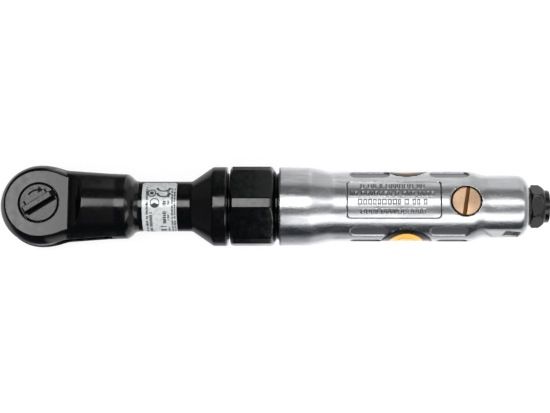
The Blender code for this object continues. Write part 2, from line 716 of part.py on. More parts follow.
def make_exhaust_screen():
    screen = exhaust_block(11.2, 11.8, 4.1, 3.3)
    for column in (-2.4, 0, 2.4):
        for row in (-1.6, 1.6):
            cut(screen, at_exhaust(prism(stadium(1.5, 1.4, 3), 9, 14, "Z", (column, row, 0))))
    place("exhaust_screen", screen, "bronze")


# ------------------------------------------------------------------ lever, valve and regulator
def make_throttle_lever():
    """Sheet-metal channel, built pressed in and then let out to rest."""
    sheet, half_width = 1.5, 6.4
    step_front, step_rear, tail_x = 210.0, 213.5, 226.4
    front_w, rear_w = -18.7, -21.4
    outer = [(LEVER_TIP_X + 1.2, -16.6), (206, -16.35), (211, -15.2), (216, -14.5),
             (tail_x, -14.5), (tail_x, rear_w), (step_rear, rear_w), (step_front, front_w),
             (LEVER_TIP_X + 1.2, front_w), (LEVER_TIP_X, front_w + 1.0)]
    lever = prism(outer, -half_width, half_width, "Y")
    inner = [(140, -12), (240, -12), (240, rear_w + sheet), (step_rear + 0.6, rear_w + sheet),
             (step_front + 0.6, front_w + sheet), (140, front_w + sheet)]
    cut(lever, prism(inner, sheet - half_width, half_width - sheet, "Y"))
    pivot = (LEVER_PIVOT_X, 0, LEVER_PIVOT_W)
    cut(lever, cylinder(LEVER_PIN_R + FIT, -10, 10, "Y", pivot, 14))
    place("throttle_lever", turned(lever, -LEVER_TRAVEL, "Y", pivot), "steel", pivot)
    place("lever_pin", cylinder(LEVER_PIN_R, -6.7, 6.7, "Y", pivot, 14), "bearing_steel", pivot)


def make_valve():
    place("valve_pin", cylinder(1.25, -18.64, -7.85, "Z", (VALVE_X, 0, 0), 14), "bearing_steel",
          (VALVE_X, 0, -18.64))
    place("valve_ball", ball(3.6, (VALVE_X, 0, -3.8), 12, 8), "rubber", (VALVE_X, 0, -3.8))
    spring = coil(2.8, 0.35, -0.9, 8.2, 4, "Z", (VALVE_X, 0, 0))
    place("valve_spring", spring, "spring_steel")


def make_regulator():
    head_r, skirt_r, hollow_r, groove_r = 6.7, 5.3, 4.2, 5.7
    regulator = revolve([(-1, hollow_r), (-1, skirt_r), (9.2, skirt_r), (9.4, head_r),
                         (11.2, head_r), (11.2, groove_r), (12.8, groove_r), (12.8, head_r),
                         (15.1, head_r), (15.6, head_r - 0.5), (15.6, 0), (8.6, 0),
                         (8.6, hollow_r)], 24, "Z", (VALVE_X, 0, 0), phase=0.2)
    slot = prism(rectangle(-0.7, 0.7, -9, 9), 14.2, 17, "Z", (VALVE_X, 0, 0))
    cut(regulator, turned(slot, -9, "Z", (VALVE_X, 0, 0)))
    cut(regulator, prism(rectangle(0, 8, -3.0, 3.0), -2, 3.6, "Z", (VALVE_X, 0, 0)))
    place("regulator", regulator, "brass", (VALVE_X, 0, 12))
    o_ring = revolve(arc((12.0, 6.45), 0.6, 0, 300, 5), 18, "Z", (VALVE_X, 0, 0))
    place("regulator_oring", o_ring, "rubber")


# ------------------------------------------------------------------ air inlet
def make_inlet():
    thread_r, collar_r, bore_r, crown_r = 7.65, 7.75, 5.9, 8.4
    front_chamfer, rear_chamfer = 0.9, 2.4
    seal_start, seal_end = HOUSING_END + 0.2, HOUSING_END + 0.7
    corner_r = INLET_FLATS / math.sqrt(3) + 0.1
    face_r = INLET_FLATS / 2 - 0.1
    bushing = revolve([(217.2, 4.0), (217.2, thread_r), (INLET_HEX_START, thread_r),
                       (INLET_HEX_START, face_r), (INLET_HEX_START + front_chamfer, corner_r),
                       (INLET_HEX_END - rear_chamfer, corner_r), (INLET_HEX_END, crown_r),
                       (INLET_HEX_END, collar_r), (INLET_END, collar_r), (INLET_END, bore_r),
                       (226, bore_r), (226, 4.0)], 24)
    common(bushing, prism(hexagon(INLET_FLATS, 90 - INLET_CLOCK), 210, 250))
    place("inlet_bushing", bushing, "black_oxide")
    place("inlet_seal", ring(8.0, 8.8, seal_start, seal_end), "rubber")
    screen = cylinder(5.6, 226.3, 226.9, segments=20)
    for hole in range(6):
        angle = math.radians(60 * hole)
        centre = (0, 3.2 * math.cos(angle), 3.2 * math.sin(angle))
        cut(screen, cylinder(1.0, 225, 228, "X", centre, 6))
    place("inlet_screen", screen, "bronze")


# ------------------------------------------------------------------ assembly
def clear_scene():
    for item in list(bpy.data.objects):
        bpy.data.objects.remove(item, do_unlink=True)


def build():
    clear_scene()
    for name, (colour, roughness, metallic) in FINISHES.items():
        material(name, colour, roughness, metallic)
    frame = bpy.data.objects.new("tool_axis", None)
    frame.location = (0, 0, AXIS_H * MM)
    bpy.context.scene.collection.objects.link(frame)

    make_ratchet_head()
    make_anvil()
    make_pawl()
    make_reverse_knob()
    make_yoke()
    make_anvil_rings()
    make_socket_detent()
    make_crankshaft()
    make_needle_bearing()
    make_planets()
    make_carrier_plate()
    make_hex_ring_gear()
    make_end_plates()
    make_ball_bearing("front_bearing", 109, 116, (4.5, 6.2), (9.3, 11.0), 7, 1.5)
    make_ball_bearing("rear_bearing", 162, 168, (3.0, 4.6), (7.4, 9.0), 7, 1.3)
    make_motor_cylinder()
    make_rotor()
    make_housing()
    make_badges()
    make_neck_label()
    make_exhaust_screen()
    make_throttle_lever()
    make_valve()
    make_regulator()
    make_inlet()


build()
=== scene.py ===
"""Looks of the air ratchet: fine surfaces, materials, studio light and camera.

Shapes are worked out in tool coordinates in millimetres: x along the tool from the drive's axis,
y across it, w up from the tool's axis.  Most visible castings are the zero surface of a distance
field, meshed by surface(), so every edge has its real rounding.
"""
import json
import math

import bmesh
import bpy
import numpy as np
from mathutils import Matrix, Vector


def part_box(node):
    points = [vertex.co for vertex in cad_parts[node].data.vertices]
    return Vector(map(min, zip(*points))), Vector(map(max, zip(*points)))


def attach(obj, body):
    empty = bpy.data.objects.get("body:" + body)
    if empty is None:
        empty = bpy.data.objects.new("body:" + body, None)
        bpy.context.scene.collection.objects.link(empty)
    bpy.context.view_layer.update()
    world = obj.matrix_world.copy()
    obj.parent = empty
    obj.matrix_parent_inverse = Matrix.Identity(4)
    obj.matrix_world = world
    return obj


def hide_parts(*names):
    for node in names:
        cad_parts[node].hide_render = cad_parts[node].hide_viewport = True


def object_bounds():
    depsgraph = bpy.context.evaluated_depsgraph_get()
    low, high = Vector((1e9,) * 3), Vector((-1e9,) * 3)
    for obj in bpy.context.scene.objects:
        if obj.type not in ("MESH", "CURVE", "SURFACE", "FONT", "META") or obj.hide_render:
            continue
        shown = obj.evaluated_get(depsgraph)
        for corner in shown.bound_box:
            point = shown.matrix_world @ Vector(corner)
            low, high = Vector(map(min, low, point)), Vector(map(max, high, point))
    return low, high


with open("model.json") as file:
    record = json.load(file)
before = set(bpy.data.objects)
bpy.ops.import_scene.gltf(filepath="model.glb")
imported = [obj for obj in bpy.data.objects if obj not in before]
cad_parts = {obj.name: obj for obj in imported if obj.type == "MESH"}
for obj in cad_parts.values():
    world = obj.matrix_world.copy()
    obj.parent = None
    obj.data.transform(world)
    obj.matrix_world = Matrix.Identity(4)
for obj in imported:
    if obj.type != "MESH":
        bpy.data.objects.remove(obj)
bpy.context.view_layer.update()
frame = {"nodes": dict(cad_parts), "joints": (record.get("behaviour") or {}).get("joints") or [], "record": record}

MM = 0.001


# ---------- places, from the frame
def joint_position(name):
    return next(Vector(joint["pos_m"]) for joint in frame["joints"] if joint["name"] == name)


AXIS_Z = joint_position("rotor_spin").z
VALVE_X = joint_position("regulator_turn").x / MM
PIVOT_X = joint_position("lever_press").x / MM
PIVOT_W = (joint_position("lever_press").z - AXIS_Z) / MM
LEVER_TRAVEL = 4.6       # degrees between rest and pressed


def node_box(node):
    """Lowest and highest corner of a node in tool coordinates, in mm."""
    return [(corner.x / MM, corner.y / MM, (corner.z - AXIS_Z) / MM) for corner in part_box(node)]


def node_range(node, axis):
    """Lowest and highest tool coordinate of a node along axis 0 (x), 1 (y) or 2 (w), in mm."""
    low, high = node_box(node)
    return low[axis], high[axis]


HEAD_END = node_range("ratchet_head", 0)[1]
COUPLING_START, COUPLING_END = node_range("hex_ring_gear", 0)
HOUSING_START, HOUSING_END = node_range("motor_housing", 0)
INLET_END = node_range("inlet_bushing", 0)[1]
DRIVE_W = node_range("ratchet_anvil", 2)[0]
LABEL_START, LABEL_END = node_range("neck_label", 0)
BADGE_X = sum(node_range("badge_left", 0)) / 2

HEAD_R = 19.5            # ball end of the head
HEAD_FLAT = 11.0
KNOB_R = 8.85
KNOB_BORE_R = 9.35
NECK_R = 11.85
FLANGE_R = 18.8
HOUSING_R = 18.6
GRIP_R = 16.7
TAIL_R = 14.8


# ---------- distance fields
def meet(a, b, radius):
    """Intersection of two fields, its edge rounded to radius."""
    over = np.hypot(np.maximum(a + radius, 0), np.maximum(b + radius, 0))
    return np.minimum(-radius, np.maximum(a, b)) + over


def blend(a, b, radius):
    """Union of two fields, its inside corner filled to radius."""
    return -meet(-a, -b, radius)


def remove(a, b, radius):
    """a without b, its edge rounded to radius."""
    return meet(a, -b, radius)


def slab(value, low, high):
    """Field of the space between two planes."""
    return np.maximum(low - value, value - high)


def rod(a, b, along, radius, start, end):
    """Field of a cylinder round the origin of (a, b)."""
    return np.maximum(np.hypot(a, b) - radius, slab(along, start, end))


def bored(solid, a, b, along, bores):
    """solid without the rods of (radius, start, end) round the origin of (a, b)."""
    for bore in bores:
        solid = remove(solid, rod(a, b, along, *bore), 0.3)
    return solid


def block(a, b, half_a, half_b, corner):
    """Field of a rectangle with rounded corners, round the origin of (a, b)."""
    out_a, out_b = np.abs(a) - half_a + corner, np.abs(b) - half_b + corner
    outside = np.hypot(np.maximum(out_a, 0), np.maximum(out_b, 0))
    return outside + np.minimum(np.maximum(out_a, out_b), 0) - corner


def rotated(a, b, degrees):
    """(a, b) as seen from axes turned by degrees."""
    c, s = math.cos(math.radians(degrees)), math.sin(math.radians(degrees))
    return a * c + b * s, b * c - a * s


class Profile:
    """Radius along the tool through a few points, with every corner softened alike."""

    def __init__(self, points, soften):
        step = 0.1
        xs = np.arange(points[0][0] - 5, points[-1][0] + 5, step)
        radii = np.interp(xs, [p[0] for p in points], [p[1] for p in points])
        reach = int(4 * soften / step)
        kernel = np.exp(-0.5 * (np.arange(-reach, reach + 1) * step / soften) ** 2)
        padded = np.pad(radii, reach, mode="edge")
        self.xs = xs
        self.radii = np.convolve(padded, kernel / kernel.sum(), mode="valid")
        self.scale = 1 / np.hypot(1, np.gradient(self.radii, step))

    def radius(self, x):
        return np.interp(x, self.xs, self.radii)

    def field(self, x, r):
        return (r - self.radius(x)) * np.interp(x, self.xs, self.scale)


# ---------- meshes
def add_object(name, data):
    thing = bpy.data.objects.new(name, data)
    bpy.context.scene.collection.objects.link(thing)
    return thing


def new_piece(name, vertices, faces, normals=None):
    """A mesh object from tool coordinates in mm."""
    points = np.array(vertices, float) * MM
    points[:, 2] += AXIS_Z
    mesh = bpy.data.meshes.new(name)
    mesh.from_pydata(points.tolist(), [], faces)
    mesh.update()
    mesh.shade_smooth()
    if normals is not None:
        mesh.normals_split_custom_set_from_vertices(normals.tolist())
    return add_object(name, mesh)


def slope(field, points):
    """The field and its gradient at each point."""
    nudge = 0.01
    gradient = np.empty_like(points)
    for axis, step in enumerate(nudge * np.eye(3)):
        ahead, behind = points + step, points - step
        gradient[:, axis] = (field(*ahead.T) - field(*behind.T)) / (2 * nudge)
    return field(*points.T), gradient


def settle(field, points, reach, rounds=4):
    """Move points onto the field's zero surface, each by at most reach a round."""
    for _ in range(rounds):
        value, gradient = slope(field, points)
        length2 = np.maximum((gradient ** 2).sum(1), 0.05)
        move = -gradient * (value / length2)[:, None]
        length = np.linalg.norm(move, axis=1)
        points = points + move * np.minimum(1, reach / np.maximum(length, 1e-9))[:, None]
    return points


def surface(name, field, low, high, step, coarse_from=None, coarse=0.0):
    """The zero surface of a field as a quad mesh, found on a grid and settled onto it.

    Beyond x = coarse_from the grid's cells are coarse mm long.
    """
    axes = [np.arange(lo - 1.6 * step, hi + 2.6 * step, step) for lo, hi in zip(low, high)]
    if coarse_from is not None:
        fine = axes[0][axes[0] < coarse_from]
        axes[0] = np.concatenate([fine, np.arange(fine[-1] + coarse, high[0] + 2.6 * coarse, coarse)])
    inside = field(*np.meshgrid(*axes, indexing="ij")) < 0
    corners = inside.astype(np.int8)
    for axis in range(3):
        corners = np.delete(corners, -1, axis) + np.delete(corners, 0, axis)
    cells = np.argwhere((corners > 0) & (corners < 8))
    number = np.full(corners.shape, -1)
    number[tuple(cells.T)] = np.arange(len(cells))
    points = np.stack([(axes[d][cells[:, d]] + axes[d][cells[:, d] + 1]) / 2 for d in range(3)], axis=1)

    faces = []
    for axis in range(3):
        before, after = np.delete(inside, -1, axis), np.delete(inside, 0, axis)
        for crossed, order in ((before & ~after, 1), (after & ~before, -1)):
            around = []
            for du, dv in ((-1, -1), (0, -1), (0, 0), (-1, 0))[::order]:
                cell = np.argwhere(crossed)
                cell[:, (axis + 1) % 3] += du
                cell[:, (axis + 2) % 3] += dv
                around.append(number[tuple(cell.T)])
            faces.append(np.stack(around, axis=1))
    faces = np.concatenate(faces)

    points = settle(field, points, step)
    for _ in range(2):
        total, count = np.zeros_like(points), np.zeros(len(points))
        for near, far in ((0, 1), (1, 2), (2, 3), (3, 0)):
            for a, b in ((near, far), (far, near)):
                np.add.at(total, faces[:, a], points[faces[:, b]])
                np.add.at(count, faces[:, a], 1)
        points = 0.4 * points + 0.6 * total / np.maximum(count, 1)[:, None]
        points = settle(field, points, step, 3)
    _, normals = slope(field, points)
    normals /= np.maximum(np.linalg.norm(normals, axis=1), 1e-9)[:, None]
    return new_piece(name, points, faces.tolist(), normals)


def finish_faces(piece, sharp_angle):
    """Turn every face outwards, and shade edges over sharp_angle degrees as sharp."""
    mesh = bmesh.new()
    mesh.from_mesh(piece.data)
    bmesh.ops.recalc_face_normals(mesh, faces=mesh.faces)
    mesh.to_mesh(piece.data)
    mesh.free()
    piece.data.set_sharp_from_angle(angle=math.radians(sharp_angle))
    return piece


def rounded_min(a, b):
    """Smaller of two values, rounded where they cross."""
    soft = 0.2
    gap = np.clip(soft - np.abs(a - b), 0, None)
    return np.minimum(a, b) - gap * gap / (4 * soft)


def along_tool(along, a, b):
    return along, a, b


def turned_mesh(name, outline, segments, place=along_tool, limit=None, sharp_angle=40):
    """Turn a closed outline of (along, radius) points.

    place gives the tool coordinates of a point along the turning axis and at (a, b) from it.
    limit(angle) is the greatest radius at an angle from a towards b, for pieces with flats.
    """
    angles = 2 * np.pi * np.arange(segments) / segments
    vertices, rings = [], []
    for along, radius in outline:
        count = segments if radius else 1
        rings.append([len(vertices) + step % count for step in range(segments)])
        radii = np.full(count, float(radius))
        if radius and limit is not None:
            radii = rounded_min(radii, limit(angles))
        a, b = radii * np.cos(angles[:count]), radii * np.sin(angles[:count])
        vertices += [place(along, *point) for point in zip(a, b)]
    faces = []
    for first, second in zip(rings, rings[1:] + rings[:1]):
        for step in range(segments):
            after = (step + 1) % segments
            corners = dict.fromkeys((first[step], second[step], second[after], first[after]))
            if len(corners) > 2:
                faces.append(list(corners))
    return finish_faces(new_piece(name, vertices, faces), sharp_angle)


def bent_plate(name, start, end, turn, bend_r, width, corner, low_r, top, cell):
    """Closed plate bent round the tool, its four corners rounded.

    It reaches from start to end along x, and width round the tool at bend_r, its middle at the
    angle turn from +y.  top(u, s) is its outer radius at u along and s round from its middle.
    """
    length = end - start
    u, s = np.meshgrid(np.linspace(-length / 2, length / 2, int(length / cell) + 1),
                       np.linspace(-width / 2, width / 2, int(width / cell) + 1))
    edge = width / 2 - np.abs(s)
    pull = corner - np.sqrt(np.maximum(corner ** 2 - np.maximum(corner - edge, 0) ** 2, 0))
    u = u * (1 - 2 * pull / length)
    angle = turn - s / bend_r
    vertices = []
    for radius in (top(u, s), np.full(u.shape, low_r)):
        layer = [(start + end) / 2 + u, radius * np.cos(angle), radius * np.sin(angle)]
        vertices += np.stack(layer, axis=-1).reshape(-1, 3).tolist()
    grid = np.arange(u.size).reshape(u.shape)
    upper = np.stack([grid[:-1, :-1], grid[1:, :-1], grid[1:, 1:], grid[:-1, 1:]], axis=-1)
    upper = upper.reshape(-1, 4)
    rim = np.concatenate([grid[0, :-1], grid[:-1, -1], grid[-1, :0:-1], grid[:0:-1, 0]])
    after = np.roll(rim, -1)
    sides = np.stack([rim, after, after + u.size, rim + u.size], axis=-1)
    faces = np.concatenate([upper, upper[:, ::-1] + u.size, sides]).tolist()
    return finish_faces(new_piece(name, vertices, faces), 60)


def thread(start, end, radius, pitch=1.0, depth=0.45):
    """Outline points of screw-like grooves from start to end."""
    points = [(start, radius - depth)]
    count = max(1, int(abs(end - start) / pitch))
    step = (end - start) / count
    for turn in range(count):
        points.append((start + step * (turn + 0.35), radius))
        points.append((start + step * (turn + 0.55), radius))
        points.append((start + step * (turn + 0.98), radius - depth))
    return points


# ---------- ratchet head
HEAD_OUTSIDE = Profile([(7.5, 18.0), (13, 17.1), (36, 15.5), (41.4, 15.3), (43.2, 14.0),
                        (44.6, 12.4), (46.2, NECK_R), (71.5, NECK_R), (81.6, FLANGE_R),
                        (90, FLANGE_R)], 0.45)
SLOT_HALF = 4.2
SLOT_END = 34.0


def head_field(x, y, w):
    r = np.hypot(y, w)
    cast_edge = np.interp(y, (2, 14), (0.45, 0.9))
    ball = np.sqrt(x * x + r * r) - HEAD_R
    body = meet(HEAD_OUTSIDE.field(x, r), 2 - x, 0.5)
    head = meet(blend(ball, body, 2.0), x - HEAD_END, 0.6)
    scoop_end, scoop_r, anvil_bore_r, ring_groove_r = 20.7, 7.5, 11.1, 11.8
    head = remove(head, meet(HEAD_FLAT - np.abs(w), x - scoop_end, scoop_r), cast_edge)
    head = remove(head, meet(np.abs(w) - SLOT_HALF, x - SLOT_END, 1.5), 0.5)

    from_drive = np.hypot(x, y)
    head = remove(head, meet(from_drive - KNOB_BORE_R, 2 - w, 0.3), 0.4)
    head = remove(head, meet(from_drive - anvil_bore_r, w + 2, 0.3), 0.45)
    head = remove(head, meet(from_drive - ring_groove_r, w + 9.5, 0.3), 0.45)

    return bored(head, y, w, x, ((6.2, 20, 48), (8.0, 46, 80), (13.4, 78.6, 84), (16.4, 81.4, 95)))


def make_head():
    head = surface("head_casting", head_field, (-HEAD_R, -HEAD_R, -HEAD_R),
                   (HEAD_END, HEAD_R, HEAD_R), 0.42, 24.0, 0.8)
    return dress(head, "body", "black_enamel", "ratchet_head")


def make_knob():
    """Disc flush with the ear, its finger bar, and an engraved arrow with two stop marks."""
    stem_r, bar_half, bar_top, bar_angle = 2.9, 1.45, node_range("reverse_knob", 2)[1], 32
    engraving, undercut_depth, cut_gap = 0.5, 1.3, 0.95
    arc_r, arc_start, arc_end, arrow_turn, arrow_angle = 6.1, 5.6, 11.8, 0.94, -36

    def field(x, y, w):
        r = np.hypot(x, y)
        disc = meet(r - KNOB_R, slab(w, 8.0, HEAD_FLAT), 0.3)
        stem = meet(r - stem_r, slab(w, -2.6, 9), 0.3)
        knob = blend(disc, stem, 0.3)
        along, across = rotated(x, y, bar_angle)
        draft = (w - HEAD_FLAT) * 0.12
        bar = meet(np.abs(across) - bar_half - 0.35 + draft, slab(w, 9.5, bar_top), 0.3)
        bar = meet(bar, np.abs(along) - 8.0 + draft, 0.3)
        knob = blend(knob, meet(bar, r - KNOB_R, 0.3), 0.25)
        undercut = block(along - 0.4, across + bar_half + cut_gap, 7.4, 0.5, 0.3)
        undercut = np.minimum(undercut, block(along - 7.7, across - 0.2, 0.75, 1.7, 0.3))
        knob = remove(knob, np.maximum(undercut, HEAD_FLAT - undercut_depth - w), 0.1)
        arc_length = np.arctan2(across, along) * arc_r
        arc = meet(np.abs(r - arc_r) - 0.3, slab(arc_length, arc_start, arc_end), 0.1)
        tip_a, tip_b = rotated(along - arc_r * math.cos(arrow_turn),
                               across - arc_r * math.sin(arrow_turn), arrow_angle)
        arrow = np.maximum(np.abs(tip_b) + 0.7 * tip_a - 1.0, -0.7 - tip_a)
        stops = block(np.abs(along) - 5.6, across - 3.2, 0.3, 0.9, 0.1)
        marks = np.minimum(np.minimum(arc, arrow), stops)
        knob = remove(knob, np.maximum(marks, HEAD_FLAT - engraving - w), 0.08)
        hole_a, hole_b = rotated(x, y, bar_angle + 180)
        return remove(knob, rod(hole_b, w, hole_a, 1.25, -1.9, 5), 0.1)

    knob = surface("reverse_knob_turned", field, (-KNOB_R, -KNOB_R, -2.6), (KNOB_R, KNOB_R, bar_top), 0.16)
    return dress(knob, "knob", "satin_black", "reverse_knob")


def make_anvil():
    square, corner = 6.35, 1.2
    boss_w, disc_w, top_w = -11.6, -7.6, 7.7
    boss_r, disc_r, top_r, bore_r, pin_x, ball_w = 8.9, 10.75, 9.1, 3.2, -6.4, -18.6

    def field(x, y, w):
        r = np.hypot(x, y)
        anvil = meet(r - disc_r, slab(w, disc_w, 4.0), 0.35)
        anvil = np.minimum(anvil, meet(r - top_r, slab(w, 2, top_w), 0.35))
        anvil = np.minimum(anvil, meet(r - boss_r, slab(w, boss_w, 0), 0.5))
        diamond = (np.abs(x) + np.abs(y)) / math.sqrt(2) - (2 * square - corner) / math.sqrt(2)
        drive = meet(meet(np.abs(x) - square, np.abs(y) - square, 0.2), diamond, 0.3)
        drive = np.maximum(drive, slab(w, DRIVE_W, -9))
        nose = np.maximum(np.abs(x), np.abs(y)) - square + (DRIVE_W + 1.1 - w)
        drive = meet(drive, nose / math.sqrt(2), 0.25)
        anvil = blend(anvil, drive, 0.5)
        anvil = remove(anvil, np.maximum(r - bore_r, -3.0 - w), 0.25)
        pocket = np.maximum(np.maximum(x + 1.6, np.abs(y) - 8.2), slab(w, -3.6, 3.4))
        anvil = remove(anvil, pocket, 0.25)
        anvil = remove(anvil, rod(x - pin_x, y, w, 1.45, -5.7, 5.5), 0.2)
        return remove(anvil, rod(y, w - ball_w, x, 1.75, -9, 1.5), 0.25)

    anvil = surface("square_drive", field, (-disc_r, -disc_r, DRIVE_W), (disc_r, disc_r, top_w), 0.24)
    return dress(anvil, "anvil", "drive_steel", "ratchet_anvil")


def make_yoke():
    teeth, tip_r, root_r, ring_r, half = 48, 11.2, 12.1, 18.4, 3.9
    arm_half, fork_half, fork_end = 10.5, 7.05, 28.9

    def field(x, y, w):
        r = np.hypot(x, y)
        arms = np.maximum(np.abs(y) - arm_half, slab(x, 12, fork_end))
        yoke = blend(r - ring_r, arms, 1.5)
        yoke = remove(yoke, np.maximum(np.abs(y) - fork_half, 18.6 - x), 0.6)
        wave = np.abs((np.arctan2(y, x) * teeth / (2 * np.pi)) % 1 - 0.5) * 2
        inner = (r - root_r + (root_r - tip_r) * (1 - wave)) * 0.65
        return meet(np.maximum(yoke, -inner), np.abs(w) - half, 0.4)

    yoke = surface("ratchet_yoke_forged", field, (-ring_r, -ring_r, -half),
                   (fork_end, ring_r, half), 0.3)
    return dress(yoke, "yoke", "yoke_steel", "ratchet_yoke")


def make_retaining_ring():
    """Open ring of rectangular wire, with rounded ends and an eye in each."""
    inner, outer, half_gap, eye_turn = 9.5, 11.65, math.radians(25), math.radians(29.5)
    eye_x, eye_y, eye_r = 10.4 * math.cos(eye_turn), 10.4 * math.sin(eye_turn), 0.45
    low, high = node_range("anvil_retaining_ring", 2)

    def field(x, y, w):
        r = np.hypot(x, y)
        band = meet(np.abs(r - (inner + outer) / 2) - (outer - inner) / 2, slab(w, low, high), 0.1)
        ring = meet(band, (half_gap - np.abs(np.arctan2(y, x))) * r, 0.4)
        return remove(ring, np.hypot(x - eye_x, np.abs(y) - eye_y) - eye_r, 0.08)

    ring = surface("snap_ring", field, (-outer, -outer, low), (outer, outer, high), 0.14)
    return dress(ring, "body", "spring_steel", "anvil_retaining_ring")


def make_detent_ball():
    low, high = np.array(node_box("socket_detent_ball"))
    radius, steps = 1.6, 24
    turns = [math.pi * step / steps for step in range(1, steps)]
    outline = [(-radius * math.cos(turn), radius * math.sin(turn)) for turn in turns]
    ball = turned_mesh("detent_ball", [(-radius, 0)] + outline + [(radius, 0)], 40,
                       lambda *point: (low + high) / 2 + point)
    return dress(ball, "detent", "bearing_steel", "socket_detent_ball")


# ---------- coupling
def flats_limit(across_flats, flat_angle, corner_r=None):
    """Greatest radius of a hexagon at each angle, its corners cut off square at corner_r."""
    def limit(angles):
        from_flat = (np.degrees(angles) - flat_angle + 30) % 60 - 30
        radius = across_flats / 2 / np.cos(np.radians(from_flat))
        if corner_r is not None:
            from_corner = (np.degrees(angles) - flat_angle) % 60 - 30
            radius = np.minimum(radius, corner_r / np.cos(np.radians(from_corner)))
        return radius
    return limit


def make_coupling():
    flats, corner_r, clock, hex_start, hex_end = 36.5, 19.8, 95.0, 89.8, 111.4
    face_r, full_r, crown_r, thread_r = flats / 2 - 0.3, 20.3, 16.2, 16.1
    chamfer, crown, rings = 1.5, 3.2, 10
    left = [(hex_start + chamfer * i / rings, face_r + (full_r - face_r) * i / rings)
            for i in range(rings + 1)]
    right = [(hex_end - crown * (1 - i / rings),
              full_r - (full_r - crown_r) * (i / rings) ** 1.5) for i in range(rings + 1)]
    outline = [(COUPLING_START, 13.0)]
    outline += thread(COUPLING_START, hex_start - 0.7, thread_r)
    outline += [(hex_start - 0.6, thread_r - 0.5), (hex_start, thread_r - 0.5)]
    outline += [(hex_start, face_r - 0.25)] + left + right
    outline += [(hex_end, thread_r - 0.5), (hex_end + 0.6, thread_r - 0.5)]
    outline += thread(hex_end + 0.7, COUPLING_END, thread_r)
    outline += [(COUPLING_END, 14.3), (104.0, 14.3), (104.0, 13.9), (88.3, 13.9), (88.3, 13.0)]
    coupling = turned_mesh("hex_coupling", outline, 360, limit=flats_limit(flats, clock + 30, corner_r))
    return dress(coupling, "body", "milled_black", "hex_ring_gear")


# ---------- neck label
# printed lines on the label: along the tool, round it from its +Y edge, and mark spacing, in mm
LABEL_LINES = ((1.7, 2.9, 3.6, 29.6, 0.62), (3.3, 4.8, 16.8, 29.6, 0.7), (9.6, 11.2, 11.2, 13.6, 0.95),
               (9.6, 11.3, 16.2, 22.8, 1.05), (8.4, 11.2, 24.6, 29.2, 1.5), (11.7, 12.9, 4.8, 9.8, 0.8),
               (11.7, 12.9, 11.2, 13.4, 0.6), (11.7, 12.7, 17.4, 20.9, 0.6), (11.9, 12.9, 25.0, 29.0, 0.8),
               (13.7, 14.5, 4.6, 29.6, 0.5), (14.9, 15.8, 4.6, 29.6, 0.55))


def label_ink(x, s):
    """True where the label is printed; x runs along the tool, s round it, in mm."""
    from_dial = math.hypot(x - 4.6, s - 7.4)
    from_face = math.hypot(x - 6.0, s - 12.4)
    if abs(from_dial - 1.75) < 0.3 or from_dial < 0.95:
        return True
    if abs(from_face - 2.1) < 0.22 or (from_face < 1.9 and s > 12.2 + 0.5 * abs(x - 6.0)):
        return True
    for low in (7.6, 4.6):
        from_arc = math.hypot((x - 10.1) * 0.62, s - low)
        if abs(from_arc - 1.75) < 0.33 and s > low - 0.2:
            return True
    for low_x, high_x, low_s, high_s, pitch in LABEL_LINES:
        if low_x <= x <= high_x and low_s <= s <= high_s:
            letter, part = divmod(s / pitch, 1)
            tall = 0.25 * (high_x - low_x) * (1 + math.sin(letter * 2.3))
            return part < 0.78 and math.sin(letter * 1.7 + pitch * 9) > -0.9 and x > low_x + tall * 0.4
    return False


def make_label():
    """Thin film round the neck, with the ink as faces of its own."""
    inner, outer, cell, first, last = 12.05, 12.22, 0.15, math.radians(34), math.radians(178)
    length, width = LABEL_END - LABEL_START, (last - first) * outer
    columns, rows = int(length / cell), int(width / cell)
    label = bent_plate("neck_label_film", LABEL_START, LABEL_END, (first + last) / 2, outer, width,
                       1.8, inner, lambda u, s: np.full(u.shape, outer), cell)
    dress(label, "body", "label_film", "neck_label")
    label.data.materials.append(MATERIALS["label_ink"])
    for index, face in enumerate(label.data.polygons[:rows * columns]):
        row, column = divmod(index, columns)
        x, s = length * (column + 0.5) / columns, width * (1 - (row + 0.5) / rows)
        face.material_index = int(label_ink(x, s))
    return label


# ---------- motor housing
GRIP_FRONT = 137.4
GRIP_REAR = 204.0
HOUSING_OUTSIDE = Profile([(HOUSING_START, HOUSING_R), (128.5, HOUSING_R), (GRIP_FRONT, GRIP_R - 0.1),
                           (GRIP_REAR, GRIP_R), (209.5, TAIL_R), (240, TAIL_R)], 1.1)
PANEL_START, PANEL_END, PANEL_HALF, PANEL_MIDDLE = 144.6, 188.5, 9.3, 0.7
PANEL_FLOOR = GRIP_R - 0.7
PANEL_FACE = GRIP_R - 0.14
# finger pockets: angle from the top of the grip, middle and length along it
POCKET_ROWS = ((56, 155.3, 18.5), (56, 193.0, 18.5), (124, 155.3, 18.5), (124, 193.0, 18.5),
               (90, 153.7, 14.8), (90, 194.6, 14.8))


# milled flat round the exhaust slot: its distance from the axis, and where it starts along the
# tool, at the slot's middle and for each mm across the slot
EXHAUST_FACET, FACET_START, FACET_LEAN = 14.15, 209.894, 0.66


def exhaust_axes(x, y, w):
    """Coordinates in the slanted exhaust slot: along it, across it, and outwards."""
    facing, slant, middle = 76, -14, 222.5
    across, out = rotated(y, w, facing)
    along, across = rotated(x - middle, across, slant)
    return along, across, out


